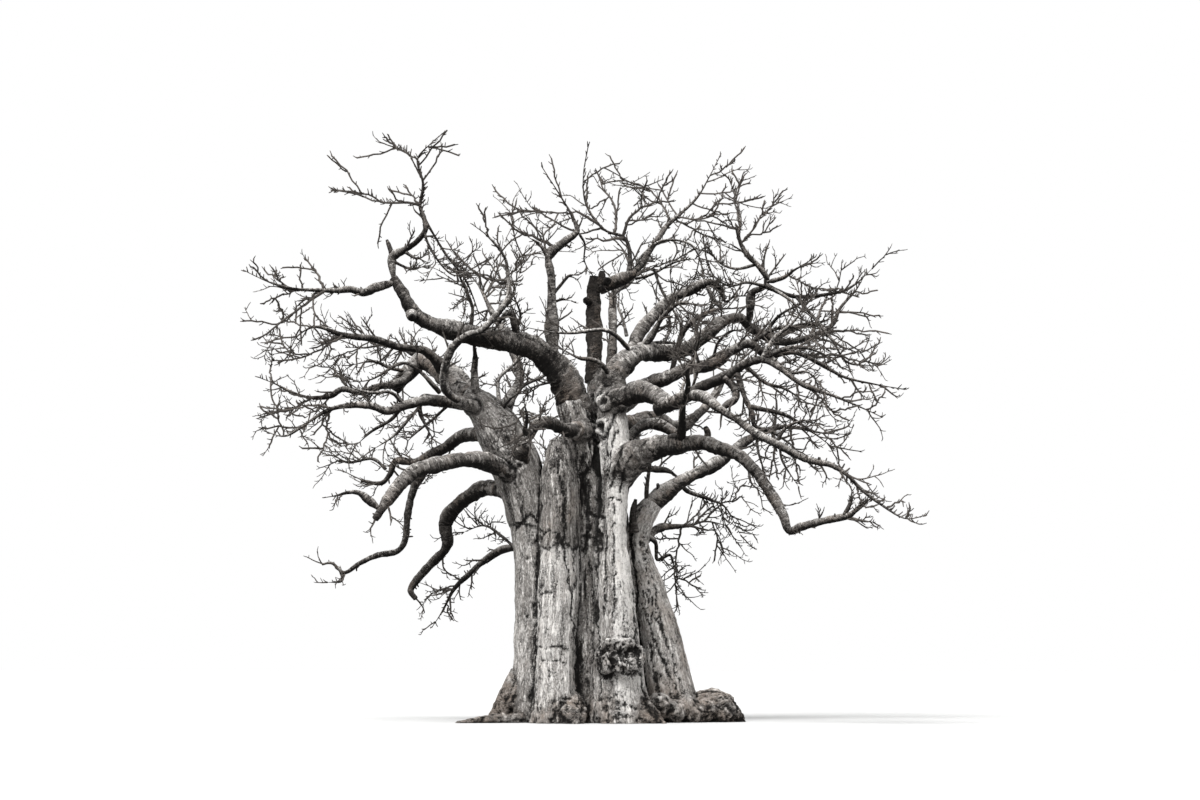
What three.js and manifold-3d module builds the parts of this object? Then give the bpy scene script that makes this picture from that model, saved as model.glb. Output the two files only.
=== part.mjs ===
// A bare baobab: several stems grown together into one fluted trunk, long winding boughs, and masses of leafless
// twigs at their tips. Sizes are in metres until place() turns them into millimetres. +Z is up, the tree is seen
// from the front along +Y, and the origin is on the flat cut at ground level, under the middle of the trunk.
import * as THREE from "three";
import { mergeVertices } from "three/addons/utils/BufferGeometryUtils.js";
import Module from "manifold-3d";

const wasm = await Module();
wasm.setup();

const MILLIMETRES = 1000; // in a metre
const GAP = 0.3; // millimetres between two solids that meet
const VIEW_DISTANCE = 60; // the front elevation is measured from here, in front of the trunk
const EYE_HEIGHT = 1.6; // height of the eye that measures it

const STEM_SIDES = 9;
const STEM_RING_STEP = 1.4; // metres along a trunk stem from one ring of corners to the next
const ROOT_RING_STEP = 0.6;
const BOUGH_RING_STEP = 0.7;
const STOUT = 0.19; // a bough's root radius from which it has more sides
const STOUT_SIDES = 7;
const SLIM_SIDES = 5;
const TWIG_SIDES = 3;
const STEM_FIT = 0.95; // a mass's stem is this share of its bough's tip
const ROOT_SINK = 0.4; // how far a stem or root starts below the ground before the flat cut
const COLLAR_CLEAR = 0.04; // a bough starts this far out of what carries it
const TWIG_CLEAR = 0.006; // least room between a twig and a limb or another mass
const ROUNDING = [[0.55, 0.8], [0.85, 0.4]]; // a round top's rings: rise and width, as shares of the radius
const ROOT_SWELL = 1.12; // how much thicker a stem is at that depth
const FLAT_TOPPED = ["left", "centre", "frontRight", "right", "backRight"]; // stems that boughs carry on from
const UP = new THREE.Vector3(0, 0, 1);

const GROUND = { width: 40000, depth: 4000 }; // millimetres that the flat cut takes off
const BARK = { color: 0x8d8580, roughness: 0.92, metalness: 0 };
const OLD_BARK = { color: 0x6f6862, roughness: 0.95, metalness: 0 };
const TWIG_BARK = { color: 0x4c4744, roughness: 0.9, metalness: 0 };

// The crown's outline on the front elevation: no twig passes these.
const crown = { left: -10.05, right: 9.65, top: 17.0, foot: 1.5 };

// Each trunk stem: its route as [across, height, depth, radius], from the ground to its fork or tip.
const trunkStems = {
  core: [[-0.1, 0, 0.2, 1.55], [-0.1, 2.5, 0.2, 1.25], [-0.15, 5, 0.2, 1.0], [-0.1, 7.2, 0.2, 0.6]],
  left: [
    [-1.49, 0, -0.3, 0.78], [-1.49, 2.4, -0.3, 0.66], [-1.54, 4.7, -0.3, 0.62], [-1.83, 6.4, -0.3, 0.64],
    [-2.34, 7.7, -0.3, 0.66], [-2.8, 8.55, -0.3, 0.52], [-3.2, 9.05, -0.3, 0.38],
  ],
  frontLeft: [
    [-0.97, 0, -1.25, 0.66], [-0.97, 1.8, -1.25, 0.52], [-0.89, 3.5, -1.2, 0.57], [-0.86, 5.2, -1.1, 0.52],
    [-0.89, 6.7, -0.9, 0.48], [-0.91, 7.75, -0.75, 0.26],
  ],
  centre: [
    [-0.05, 0, -0.6, 0.75], [-0.05, 3.5, -0.5, 0.6], [-0.1, 6.4, -0.4, 0.55], [-0.3, 8.1, -0.4, 0.5],
    [-0.47, 9.0, -0.4, 0.47],
  ],
  frontRight: [
    [0.86, 0, -1.15, 0.85], [0.8, 2.1, -1.1, 0.62], [0.74, 3.5, -1.1, 0.55], [0.63, 5, -1.05, 0.43],
    [0.69, 6.7, -1.0, 0.4], [0.69, 7.8, -0.9, 0.45], [0.6, 9.0, -0.75, 0.38],
  ],
  right: [
    [2.23, 0, 0.1, 0.95], [2.1, 1, 0.1, 0.8], [1.9, 2.4, 0.1, 0.62], [1.6, 3.8, 0.1, 0.47],
    [1.32, 4.8, 0.1, 0.38], [1.43, 5.6, 0.1, 0.34], [1.77, 6.15, 0.2, 0.3],
  ],
  backLeft: [[-0.9, 0, 1.2, 0.95], [-0.85, 3, 1.15, 0.8], [-0.75, 6, 1.1, 0.68], [-0.35, 8.1, 1.2, 0.42]],
  backRight: [
    [0.95, 0, 1.1, 0.95], [0.85, 3, 1.1, 0.78], [0.55, 5.8, 1.1, 0.55], [0.9, 7.5, 1.1, 0.42],
    [1.2, 8.4, 1.2, 0.3],
  ],
};

// Roots that show above the ground, cut off flat with it.
const surfaceRoots = {
  leftFlare: [[-1.65, 1.5, -0.35, 0.45], [-2.1, 0.75, -0.4, 0.42], [-2.55, 0.15, -0.45, 0.3], [-2.95, -0.1, -0.5, 0.1]],
  leftRunner: [[-1.5, 0.1, -0.7, 0.2], [-2.8, 0.06, -1.2, 0.12], [-3.7, -0.04, -1.3, 0.07]],
  rightMound: [
    [2.3, 0.3, 0.1, 0.55], [3.0, 0.28, 0.05, 0.52], [3.5, 0.35, 0, 0.62], [3.95, 0.12, -0.05, 0.5],
    [4.35, -0.08, -0.1, 0.15],
  ],
  frontToe: [[-0.6, 0.5, -1.3, 0.4], [-0.5, 0.1, -1.75, 0.36], [-0.45, -0.15, -2.1, 0.18]],
  rightToe: [[1.1, 0.5, -1.2, 0.45], [1.6, 0.15, -1.5, 0.36], [2.0, -0.12, -1.75, 0.16]],
  backToe: [[-0.9, 0.6, 1.6, 0.5], [-1.3, 0.15, 2.2, 0.4], [-1.6, -0.15, 2.7, 0.18]],
  backRightToe: [[1.1, 0.6, 1.5, 0.5], [1.7, 0.15, 2.0, 0.4], [2.2, -0.15, 2.4, 0.18]],
};

// The burl low on the front right stem: where it sits, and its half sizes across, in depth and in height.
const burl = { at: [0.87, 1.8, -1.62], half: [0.62, 0.38, 0.5] };

// Each bough: what carries it, its root and tip radius, and its route as [across, height, depth]. A mass is the
// twigs past its tip: the stem's further route, the arms that leave it, how far twigs spread from it, how much
// they turn up, and a seed. A fused bough is a short spur, grown into what carries it.
const boughs = [
  {
    name: "high_left_bough", after: "trunk", from: "centre", radius: [0.47, 0.16],
    route: [
      [-0.86, 9.89, -0.6], [-1.43, 10.46, -0.8], [-2.14, 10.77, -1.0], [-3.1, 10.92, -1.2],
      [-4.57, 11.3, -1.5], [-5.12, 11.7, -1.6], [-5.43, 12.26, -1.7], [-5.66, 12.62, -1.7],
    ],
  },
  {
    name: "far_left_bough", on: "high_left_bough", radius: [0.14, 0.1],
    route: [[-5.6, 12.5, -1.7], [-6.14, 12.35, -1.9], [-6.5, 12.2, -2.0], [-6.9, 12.3, -2.1], [-7.29, 12.26, -2.2]],
    mass: {
      name: "far_left_twigs", seed: 11, spread: 1.15, lift: 0.06,
      stem: [[-7.8, 12.27, -2.3], [-8.5, 12.3, -2.4], [-9.2, 12.49, -2.5], [-9.94, 12.83, -2.5]],
      arms: [
        [[-7.6, 12.25, -2.3], [-8.14, 11.89, -2.6], [-8.71, 11.46, -2.8], [-9.6, 10.8, -2.9]],
        [[-8.3, 12.28, -2.4], [-9, 12.06, -2.1], [-9.4, 11.86, -2]],
        [[-7.65, 12.25, -2.3], [-7.86, 12.77, -2.2], [-8.2, 13.2, -2.2]],
      ],
    },
  },
  {
    name: "top_left_bough", on: "high_left_bough", radius: [0.14, 0.085],
    route: [
      [-5.64, 12.56, -1.7], [-5.69, 13.2, -1.7], [-5.37, 13.42, -1.8], [-5.0, 13.69, -1.9], [-4.74, 14.06, -2.0],
      [-4.8, 14.4, -2.0],
    ],
    mass: {
      name: "top_left_twigs", seed: 23, spread: 1.7, lift: 0.1,
      stem: [[-4.91, 14.75, -2], [-4.83, 15.4, -2.05], [-5, 16.1, -2.1], [-4.63, 16.57, -2.2], [-4.2, 16.95, -2.2]],
      arms: [
        [[-4.91, 14.75, -2], [-5.34, 14.86, -2.2], [-5.9, 14.8, -2.3], [-6.57, 15.11, -2.4], [-7.43, 15.2, -2.4]],
        [[-5, 16.08, -2.1], [-5.54, 16.43, -2], [-5.97, 16.8, -1.9]],
      ],
    },
  },
  {
    name: "left_fork_bough", on: "trunk", radius: [0.3, 0.19],
    route: [
      [-3.1, 8.9, -0.3], [-3.5, 9.15, -0.1], [-3.86, 9.4, 0.1], [-4.29, 9.89, 0.5], [-4.74, 10.2, 0.8],
      [-5.03, 10.03, 0.9], [-5.6, 9.43, 1.1],
    ],
  },
  {
    name: "left_arch_bough", on: "left_fork_bough", radius: [0.16, 0.08],
    route: [
      [-4.25, 9.8, 0.4], [-4.3, 10.1, 0.0], [-4.71, 10.49, -0.3], [-5.14, 10.57, -0.4], [-5.57, 10.63, -0.5],
      [-6.14, 10.83, -0.7], [-6.71, 10.91, -0.9],
    ],
    mass: {
      name: "left_arch_twigs", seed: 31, spread: 1.25, lift: 0.03,
      stem: [[-7.2, 11, -1], [-7.86, 11.2, -1.1], [-8.37, 10.94, -1.2], [-8.6, 10.5, -1.3]],
      arms: [
        [[-7.1, 10.97, -1], [-7.6, 10.6, -1.4], [-8.3, 10.3, -1.6], [-8.9, 10.2, -1.7]],
      ],
    },
  },
  {
    name: "left_lower_bough", on: "trunk", radius: [0.18, 0.08],
    route: [
      [-3.2, 8.95, -0.4], [-4.14, 9.03, -0.9], [-4.71, 9.06, -1.3], [-5.29, 8.94, -1.6], [-5.77, 8.77, -1.9],
      [-6.23, 8.91, -2.1], [-6.8, 8.94, -2.4],
    ],
    mass: {
      name: "left_lower_twigs", seed: 43, spread: 1.2, lift: -0.02,
      stem: [[-7.5, 8.78, -2.6], [-8.17, 8.35, -2.8], [-8.7, 8.05, -2.9], [-9.3, 8.2, -3]],
      arms: [
        [[-7.3, 8.85, -2.55], [-7.9, 8.95, -2.9], [-8.7, 8.8, -3.2], [-9.4, 8.9, -3.4]],
        [[-7.4, 8.8, -2.6], [-7.5, 8.2, -2.5], [-7.1, 7.75, -2.4]],
      ],
    },
  },
  {
    name: "left_middle_bough", on: "left_fork_bough", radius: [0.13, 0.075],
    route: [
      [-5.0, 10.05, 0.9], [-5.43, 9.6, 0.45], [-6.0, 9.49, 0.3], [-6.57, 9.31, 0.2], [-7.06, 9.4, 0.1],
      [-7.43, 9.2, 0.1],
    ],
    mass: {
      name: "left_middle_twigs", seed: 57, spread: 1.2, lift: 0.05,
      stem: [[-7.95, 9.15, 0.1], [-8.5, 9.3, 0.1], [-9, 9.55, 0.1], [-9.5, 9.75, 0]],
      arms: [
        [[-7.95, 9.15, 0.1], [-8.4, 8.9, 0.4], [-9.2, 8.7, 0.6]],
      ],
    },
  },
  {
    name: "left_back_bough", on: "trunk", radius: [0.2, 0.09],
    route: [
      [-2.7, 8.5, 0.0], [-2.9, 8.9, 0.8], [-3.4, 9.5, 1.7], [-4.1, 10.1, 2.8], [-4.9, 10.4, 3.9],
      [-5.4, 10.6, 4.9],
    ],
    mass: {
      name: "left_back_twigs", seed: 61, spread: 1.5, lift: 0.05,
      stem: [[-5.8, 10.7, 5.6], [-6.4, 10.6, 6.5], [-7, 10.6, 7.4]],
      arms: [
        [[-5.9, 10.68, 5.75], [-6.9, 10.9, 5.9], [-7.7, 10.7, 6.2]],
      ],
    },
  },
  {
    name: "low_left_bough", on: "trunk", radius: [0.29, 0.13],
    route: [
      [-2.3, 7.0, -0.8], [-3.0, 7.33, -1.3], [-3.71, 7.37, -1.8], [-4.43, 7.2, -2.2], [-5.0, 7.03, -2.5],
      [-5.43, 6.63, -2.8], [-5.77, 6.17, -3.0], [-6.09, 5.68, -3.1],
    ],
  },
  {
    name: "low_left_spur", on: "low_left_bough", fused: true, radius: [0.11, 0.07],
    route: [[-5.95, 5.95, -3.05], [-6.37, 6.3, -3.1], [-6.6, 6.43, -3.1]],
    mass: {
      name: "low_left_twigs", seed: 71, spread: 0.45, lift: 0.02,
      stem: [[-6.9, 6.43, -3.15], [-7.2, 6.35, -3.2], [-7.5, 6.3, -3.2]],
    },
  },
  {
    name: "low_back_left_bough", on: "trunk", radius: [0.21, 0.05],
    route: [
      [-2.7, 7.9, 0.1], [-3.29, 8.09, 0.7], [-3.71, 8.0, 1.1], [-4.06, 7.77, 1.4], [-4.43, 7.57, 1.6],
      [-4.91, 7.31, 1.9], [-5.5, 7.34, 2.1], [-5.69, 6.95, 2.2], [-5.95, 6.7, 2.3], [-6.5, 6.78, 2.4],
    ],
  },
  {
    name: "hanging_left_bough", on: "low_back_left_bough", radius: [0.14, 0.045],
    route: [
      [-4.45, 7.57, 1.6], [-4.75, 7.1, 1.75], [-5.0, 6.54, 1.8], [-5.17, 5.83, 1.8], [-5.23, 5.11, 1.8],
      [-5.45, 4.77, 1.8], [-6.0, 4.66, 1.9], [-6.51, 4.43, 2.0], [-6.94, 4.17, 2.1], [-7.29, 4.43, 2.1],
      [-7.57, 4.4, 2.1],
    ],
  },
  {
    name: "hook_bough", on: "trunk", radius: [0.27, 0.07],
    route: [
      [-2.1, 6.4, 0.0], [-2.91, 6.57, 0.6], [-3.43, 6.34, 1.0], [-3.86, 5.97, 1.3], [-4.09, 5.54, 1.5],
      [-4.06, 4.95, 1.6], [-4.43, 4.46, 1.8], [-4.91, 3.94, 1.9], [-5.06, 3.66, 1.9], [-4.91, 3.43, 1.9],
    ],
  },
  {
    name: "drooping_left_bough", on: "trunk", radius: [0.12, 0.07],
    route: [[-1.7, 4.85, 0.1], [-2.43, 4.83, 0.9], [-3.0, 4.49, 1.4], [-3.43, 4.11, 1.8], [-3.71, 3.86, 2.1]],
    mass: {
      name: "drooping_left_twigs", seed: 83, spread: 0.8, lift: -0.08,
      stem: [[-3.9, 3.6, 2.2], [-4.15, 3.1, 2.3], [-4.45, 2.63, 2.4]],
      arms: [
        [[-3.85, 3.67, 2.2], [-4.2, 3.7, 2.5], [-4.63, 3.46, 2.7]],
      ],
    },
  },
  {
    name: "front_left_bough", on: "trunk", radius: [0.24, 0.1],
    route: [[-0.1, 8.2, -0.7], [-0.71, 8.23, -1.6], [-1.14, 8.43, -2.3], [-1.51, 8.4, -3.1], [-1.72, 8.15, -3.7]],
    mass: {
      name: "front_left_twigs", seed: 97, spread: 0.95, lift: 0.08,
      stem: [[-1.85, 8.2, -4.3], [-1.8, 8.6, -5.1], [-1.9, 9.1, -5.9]],
    },
  },
  {
    name: "light_post_bough", on: "high_left_bough", radius: [0.18, 0.11],
    route: [[-1.06, 10.15, -0.68], [-1.09, 10.97, -0.5], [-1.11, 11.83, -0.4], [-1.11, 12.54, -0.3], [-1.2, 13.35, -0.2]],
    mass: {
      name: "light_post_twigs", seed: 101, spread: 1.75, lift: 0.06,
      stem: [[-0.85, 13.6, -0.2], [-0.4, 13.95, -0.2], [-0.5, 14.4, -0.2], [-0.9, 15.1, -0.2], [-1.4, 15.9, -0.3]],
      arms: [
        [[-0.55, 14.5, -0.2], [-1.43, 14.6, -0.6], [-2.43, 14.54, -0.9]],
        [[-1, 13.5, -0.2], [-1.6, 13.8, 0.2], [-2.1, 14, 0.5], [-2.6, 14.5, 0.7]],
      ],
    },
  },
  {
    name: "centre_post_bough", on: "trunk", radius: [0.23, 0.12],
    route: [
      [-0.1, 7.7, -0.2], [0.1, 8.8, 0.1], [0.17, 9.97, 0.4], [0.11, 10.97, 0.5], [0.11, 11.97, 0.6], [0.25, 12.42, 0.6],
      [0.63, 12.51, 0.6], [1.05, 12.65, 0.6], [1.15, 13.2, 0.6],
    ],
    mass: {
      name: "crown_centre_twigs", seed: 113, spread: 1.6, lift: 0.06,
      stem: [[1, 13.8, 0.6], [0.4, 14.05, 0.6], [-0.1, 14.75, 0.6], [-0.2, 15.6, 0.6], [-0.05, 16.55, 0.6]],
      arms: [
        [[0.95, 13.85, 0.6], [1.15, 14.4, 0.2], [1.7, 14.8, 0], [2.4, 14.9, -0.2]],
        [[0.7, 13.95, 0.6], [0.75, 14.6, 0.9], [0.4, 15.2, 1.1], [0.2, 15.8, 1.2]],
      ],
    },
  },
  {
    name: "crown_right_bough", on: "centre_post_bough", radius: [0.12, 0.065],
    route: [[0.85, 12.58, 0.6], [1.4, 12.95, 0.75], [1.65, 13.31, 0.9], [1.91, 13.69, 1.2], [2.23, 14.17, 1.5]],
    mass: {
      name: "crown_right_twigs", seed: 127, spread: 1.6, lift: 0.04,
      stem: [[2.6, 14.5, 1.6], [3.1, 15, 1.7], [3.45, 15.6, 1.8], [3.8, 16.3, 1.9]],
      arms: [
        [[2.35, 14.28, 1.5], [2, 14.9, 1.9], [1.6, 15.3, 2.2], [1, 15.5, 2.4], [0.4, 15.4, 2.5]],
        [[2.5, 14.42, 1.6], [3.14, 14.34, 1.3], [3.6, 14.6, 1], [3.9, 15.3, 0.9]],
        [[2.45, 14.38, 1.6], [3.2, 13.95, 2], [3.9, 13.7, 2.3]],
      ],
    },
  },
  {
    name: "left_cross_bough", on: "trunk", radius: [0.15, 0.1],
    route: [
      [-3.05, 8.85, -0.4], [-3.6, 9.0, -1.1], [-4.1, 9.35, -1.5], [-4.15, 9.97, -1.75], [-3.94, 10.6, -1.95],
      [-3.51, 10.96, -2.1], [-3.09, 11.12, -2.1], [-2.71, 11.54, -2.1], [-2.34, 12.03, -2.0],
    ],
    mass: {
      name: "inner_left_twigs", seed: 131, spread: 1.35, lift: 0.06,
      stem: [[-2.36, 12.5, -1.9], [-2.45, 13.2, -1.9], [-2.9, 13.8, -2], [-3.4, 14.2, -2.1]],
      arms: [
        [[-2.36, 12.5, -1.9], [-3.2, 12.7, -2.3], [-3.85, 13.3, -2.6]],
      ],
    },
  },
  {
    name: "right_arch_bough", on: "trunk", radius: [0.4, 0.23],
    route: [
      [0.7, 6.95, -1.0], [1.29, 7.46, -1.4], [1.86, 7.71, -1.7], [2.57, 7.83, -2.0], [3.29, 7.86, -2.3],
      [3.66, 7.71, -2.5],
    ],
  },
  {
    name: "right_arch_arm", after: "right_arch_bough", radius: [0.225, 0.1],
    route: [
      [4.23, 7.51, -2.7], [4.71, 7.06, -2.9], [5.14, 6.4, -3.1], [5.46, 5.83, -3.2], [5.66, 5.36, -3.3],
      [6.0, 5.47, -3.4], [6.63, 5.63, -3.6], [7.29, 5.77, -3.8],
    ],
    mass: {
      name: "forearm_twigs", seed: 139, spread: 0.7, lift: 0.12,
      stem: [[7.5, 5.9, -3.85], [7.7, 6.1, -3.9], [8.0, 6.2, -4.0]],
    },
  },
  {
    name: "right_high_bough", on: "trunk", radius: [0.34, 0.13],
    route: [
      [0.55, 8.95, -0.7], [0.63, 9.69, -0.6], [1.0, 10.2, -0.4], [1.49, 10.49, -0.1], [2.14, 10.46, 0.3],
      [2.71, 10.54, 0.6], [3.23, 10.91, 0.8], [3.77, 11.34, 1.0], [4.29, 11.46, 1.2], [4.65, 11.15, 1.3],
      [5.14, 10.89, 1.5], [5.71, 10.77, 1.7],
    ],
    mass: {
      name: "right_high_twigs", seed: 149, spread: 1.6, lift: 0.02,
      stem: [[6.4, 10.95, 1.8], [6.94, 11.26, 1.9], [7.2, 11.77, 1.9], [7.66, 12.3, 2], [7.94, 12.8, 2]],
      arms: [
        [[6.5, 11, 1.8], [7.3, 11.1, 1.5], [7.9, 10.95, 1.4]],
        [[6.3, 10.93, 1.8], [6.6, 11.6, 2.2], [6.9, 12.3, 2.5]],
      ],
    },
  },
  {
    name: "right_shoot_bough", on: "right_high_bough", radius: [0.14, 0.08],
    route: [
      [4.55, 11.2, 1.3], [4.6, 11.77, 1.0], [4.66, 12.2, 0.8], [5.0, 12.37, 0.6], [5.09, 12.63, 0.5],
      [4.8, 13.03, 0.4], [4.51, 13.34, 0.4],
    ],
    mass: {
      name: "right_shoot_twigs", seed: 151, spread: 1.25, lift: 0.08,
      stem: [[4.3, 13.8, 0.4], [4.34, 14.4, 0.4], [4.2, 15, 0.4], [4, 15.6, 0.4]],
      arms: [
        [[4.35, 13.68, 0.4], [4.8, 14.2, 0.1], [5.06, 14.86, 0]],
      ],
    },
  },
  {
    name: "right_shoot_spur", on: "right_shoot_bough", fused: true, radius: [0.07, 0.055],
    route: [[5.05, 12.5, 0.55], [5.3, 12.56, 0.3], [5.6, 12.66, 0.1]],
    mass: {
      name: "right_spray_twigs", seed: 233, spread: 1.0, lift: 0.05,
      stem: [[5.86, 12.85, 0.0], [6.2, 13.05, -0.1], [6.5, 13.25, -0.2]],
      arms: [
        [[5.7, 12.72, 0.05], [6.3, 12.4, -0.2], [7.0, 12.25, -0.3], [7.7, 12.1, -0.4]],
      ],
    },
  },
  {
    name: "right_middle_bough", on: "trunk", radius: [0.31, 0.24],
    route: [[0.55, 8.9, -0.8], [1.05, 9.2, -1.4], [1.49, 9.34, -1.8], [1.89, 9.2, -2.3], [2.23, 8.95, -2.7]],
  },
  {
    name: "right_middle_reach", after: "right_middle_bough", radius: [0.23, 0.09],
    route: [
      [2.6, 9.1, -3.0], [3.14, 9.46, -3.3], [3.94, 9.8, -3.7], [4.43, 10.11, -4.0], [4.91, 10.26, -4.2],
      [5.37, 10.06, -4.4],
    ],
    mass: {
      name: "right_middle_twigs", seed: 163, spread: 1.0, lift: 0.0,
      stem: [[6.09, 9.54, -4.6], [7, 9.2, -4.8], [7.86, 8.83, -5], [8.34, 8.6, -5.1]],
      arms: [
        [[6.3, 9.47, -4.65], [6.9, 8.8, -4.5], [7.4, 8.45, -4.4]],
      ],
    },
  },
  {
    name: "right_upper_bough", on: "trunk", radius: [0.27, 0.12],
    route: [
      [0.75, 8.9, -0.5], [1.57, 9.51, 0.1], [2.23, 9.74, 0.0], [2.8, 10.0, -0.2], [3.49, 10.14, -0.3],
      [4.0, 10.49, -0.3], [4.57, 10.71, -0.2], [5.09, 10.4, 0.0],
    ],
    mass: {
      name: "right_upper_twigs", seed: 173, spread: 1.1, lift: 0.03,
      stem: [[5.86, 10.46, 0.1], [6.57, 10.15, 0.2], [7.29, 9.75, 0.3], [8.14, 9.55, 0.4], [9, 9.4, 0.4]],
      arms: [
        [[6.1, 10.38, 0.1], [7, 10.4, -0.3], [7.8, 10.2, -0.5], [8.3, 10.15, -0.6]],
      ],
    },
  },
  {
    name: "long_right_bough", on: "right_middle_reach", radius: [0.19, 0.075],
    route: [
      [2.8, 9.25, -3.1], [3.29, 9.15, -3.6], [3.66, 8.86, -3.9], [4.23, 8.49, -4.2], [4.77, 8.11, -4.5],
      [5.43, 7.77, -4.8], [6.14, 7.4, -5.1], [6.86, 7.23, -5.4], [7.29, 6.97, -5.5],
    ],
    mass: {
      name: "long_right_twigs", seed: 181, spread: 0.65, lift: 0.04,
      stem: [[7.71, 6.54, -5.6], [8.29, 6.09, -5.7], [8.94, 5.71, -5.8], [9.57, 5.8, -5.9]],
    },
  },
  {
    name: "right_lean_bough", after: "trunk", from: "right", radius: [0.295, 0.13],
    route: [[2.43, 6.66, 0.3], [3.0, 6.97, 0.5], [3.66, 7.29, 0.7], [4.29, 7.8, 0.9], [4.77, 8.09, 1.1]],
    mass: {
      name: "right_lean_twigs", seed: 191, spread: 1.3, lift: -0.02,
      stem: [[5.3, 8.3, 1.3], [5.9, 8.3, 1.4], [6.6, 8.15, 1.5], [7.4, 8.1, 1.5]],
      arms: [
        [[5.2, 8.27, 1.3], [5.25, 7.5, 1.5], [5.1, 6.9, 1.6]],
        [[5.7, 8.3, 1.35], [5.85, 7.4, 1.1], [5.95, 6.7, 1]],
      ],
    },
  },
  {
    name: "back_right_bough", after: "trunk", from: "backRight", radius: [0.29, 0.1],
    route: [[1.75, 8.55, 2.0], [2.46, 8.3, 3.0], [3.1, 8.7, 4.2], [3.6, 9.3, 5.2]],
    mass: {
      name: "back_right_twigs", seed: 193, spread: 1.7, lift: 0.04,
      stem: [[3.9, 9.8, 5.9], [4.3, 10.2, 6.8], [4.6, 10.6, 7.8]],
      arms: [
        [[3.95, 9.85, 6], [4.9, 10.3, 6.1], [5.8, 10.5, 6]],
      ],
    },
  },
  {
    name: "back_left_bough", on: "trunk", radius: [0.2, 0.09],
    route: [[-2.6, 8.3, -0.1], [-2.3, 9.1, 1.0], [-2.0, 9.8, 2.4], [-2.4, 10.9, 4.2], [-2.8, 11.6, 5.5]],
    mass: {
      name: "back_left_twigs", seed: 199, spread: 1.6, lift: 0.05,
      stem: [[-3, 12, 6.2], [-3.2, 12.4, 6.9], [-3.6, 12.9, 7.7]],
      arms: [
        [[-3, 12.05, 6.25], [-2.2, 12.8, 6.4], [-1.6, 13.4, 6.3]],
      ],
    },
  },
  {
    name: "back_centre_bough", on: "trunk", radius: [0.25, 0.1],
    route: [[-0.3, 7.9, 1.15], [0.35, 8.9, 1.8], [0.6, 9.9, 2.2], [0.65, 11.2, 2.8], [0.68, 12.15, 3.6], [1.1, 12.45, 4.6]],
    mass: {
      name: "back_centre_twigs", seed: 211, spread: 1.6, lift: 0.06,
      stem: [[1.3, 12.7, 5.3], [1.5, 13.1, 6.2], [1.8, 13.6, 7.1]],
      arms: [
        [[1.3, 12.75, 5.4], [2.3, 13.1, 5.4], [3, 13.5, 5.2]],
      ],
    },
  },
  {
    name: "low_back_bough", on: "trunk", radius: [0.22, 0.09],
    route: [[-0.6, 6.1, 1.3], [-0.9, 6.8, 2.8], [-1.0, 7.0, 4.3], [-1.1, 7.0, 5.5]],
    mass: {
      name: "low_back_twigs", seed: 223, spread: 1.2, lift: 0.05,
      stem: [[-1.2, 7.1, 6.2], [-1.0, 7.3, 7.1], [-0.9, 7.3, 7.9]],
    },
  },
  {
    name: "front_riser_bough", on: "right_arch_bough", radius: [0.12, 0.06],
    route: [[2.57, 7.83, -2.0], [2.63, 8.3, -2.5], [2.66, 8.9, -3.2], [2.8, 9.5, -4.1], [2.78, 9.9, -4.8]],
    mass: {
      name: "front_riser_twigs", seed: 227, spread: 1.3, lift: 0.05,
      stem: [[2.9, 10.2, -5.5], [3.1, 10.7, -6.3], [3.2, 11.3, -7.0]],
    },
  },
  {
    name: "inner_right_spur", on: "trunk", fused: true, radius: [0.15, 0.08],
    route: [[1.3, 5.0, 0.5], [1.95, 5.42, 1.1], [2.35, 5.48, 1.5]],
    mass: {
      name: "inner_right_twigs", seed: 229, spread: 1.1, lift: -0.03,
      stem: [[2.8, 5.5, 1.8], [3.3, 5.62, 2.1], [3.9, 5.5, 2.4]],
      arms: [
        [[2.6, 5.5, 1.7], [2.5, 4.9, 1.9], [2.4, 4.2, 2], [2.45, 3.65, 2.1]],
        [[3.2, 5.6, 2.05], [3.7, 6.1, 1.9], [3.9, 6.4, 1.8]],
      ],
    },
  },
];

// The rule that every mass of twigs grows by. A stem bears side twigs, and each of those bears finer ones.
const twigRule = {
  firstAt: 0.1, // share of a twig's length where its first side twig leaves
  armRadius: 0.62, // an arm's radius, as a share of the stem's where it leaves
  leaving: [0.75, 1.15], // angle to the parent, radians
  wander: 0.3, // how far each step of a twig strays from the last
  goldenTurn: 2.39996, // radians from one side twig to the next, round the parent
  goldenShare: 0.618034, // spacing of side twigs along the parent
  levels: [
    { every: 0.6, most: 4, steps: 2, length: [0.6, 1.0], radius: 0.6 },
    { every: 0.75, most: 1, steps: 1, length: [0.5, 0.75], radius: 0.75 },
  ],
  stemRings: 2, // rings on each stretch of a stem
};

// A point read on the front elevation, put at its depth: what stands further back is larger than it looks.
function place([across, height, depth]) {
  const spread = 1 + depth / VIEW_DISTANCE;
  return new THREE.Vector3(across * spread, depth, EYE_HEIGHT + (height - EYE_HEIGHT) * spread).multiplyScalar(
    MILLIMETRES,
  );
}

// The other way round: where a point in millimetres shows on the front elevation, in metres.
function elevationOf(point) {
  const shrink = 1 / (1 + point.y / MILLIMETRES / VIEW_DISTANCE);
  return {
    across: (point.x / MILLIMETRES) * shrink,
    height: EYE_HEIGHT + (point.z / MILLIMETRES - EYE_HEIGHT) * shrink,
  };
}

function insideCrown(point) {
  const { across, height } = elevationOf(point);
  return across > crown.left && across < crown.right && height < crown.top && height > crown.foot;
}

function solidFrom(geometry) {
  const bare = geometry.clone();
  bare.deleteAttribute("normal");
  bare.deleteAttribute("uv");
  const merged = mergeVertices(bare, 1e-3);
  return new wasm.Manifold(
    new wasm.Mesh({
      numProp: 3,
      vertProperties: new Float32Array(merged.attributes.position.array),
      triVerts: new Uint32Array(merged.index.array),
    }),
  );
}

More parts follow.
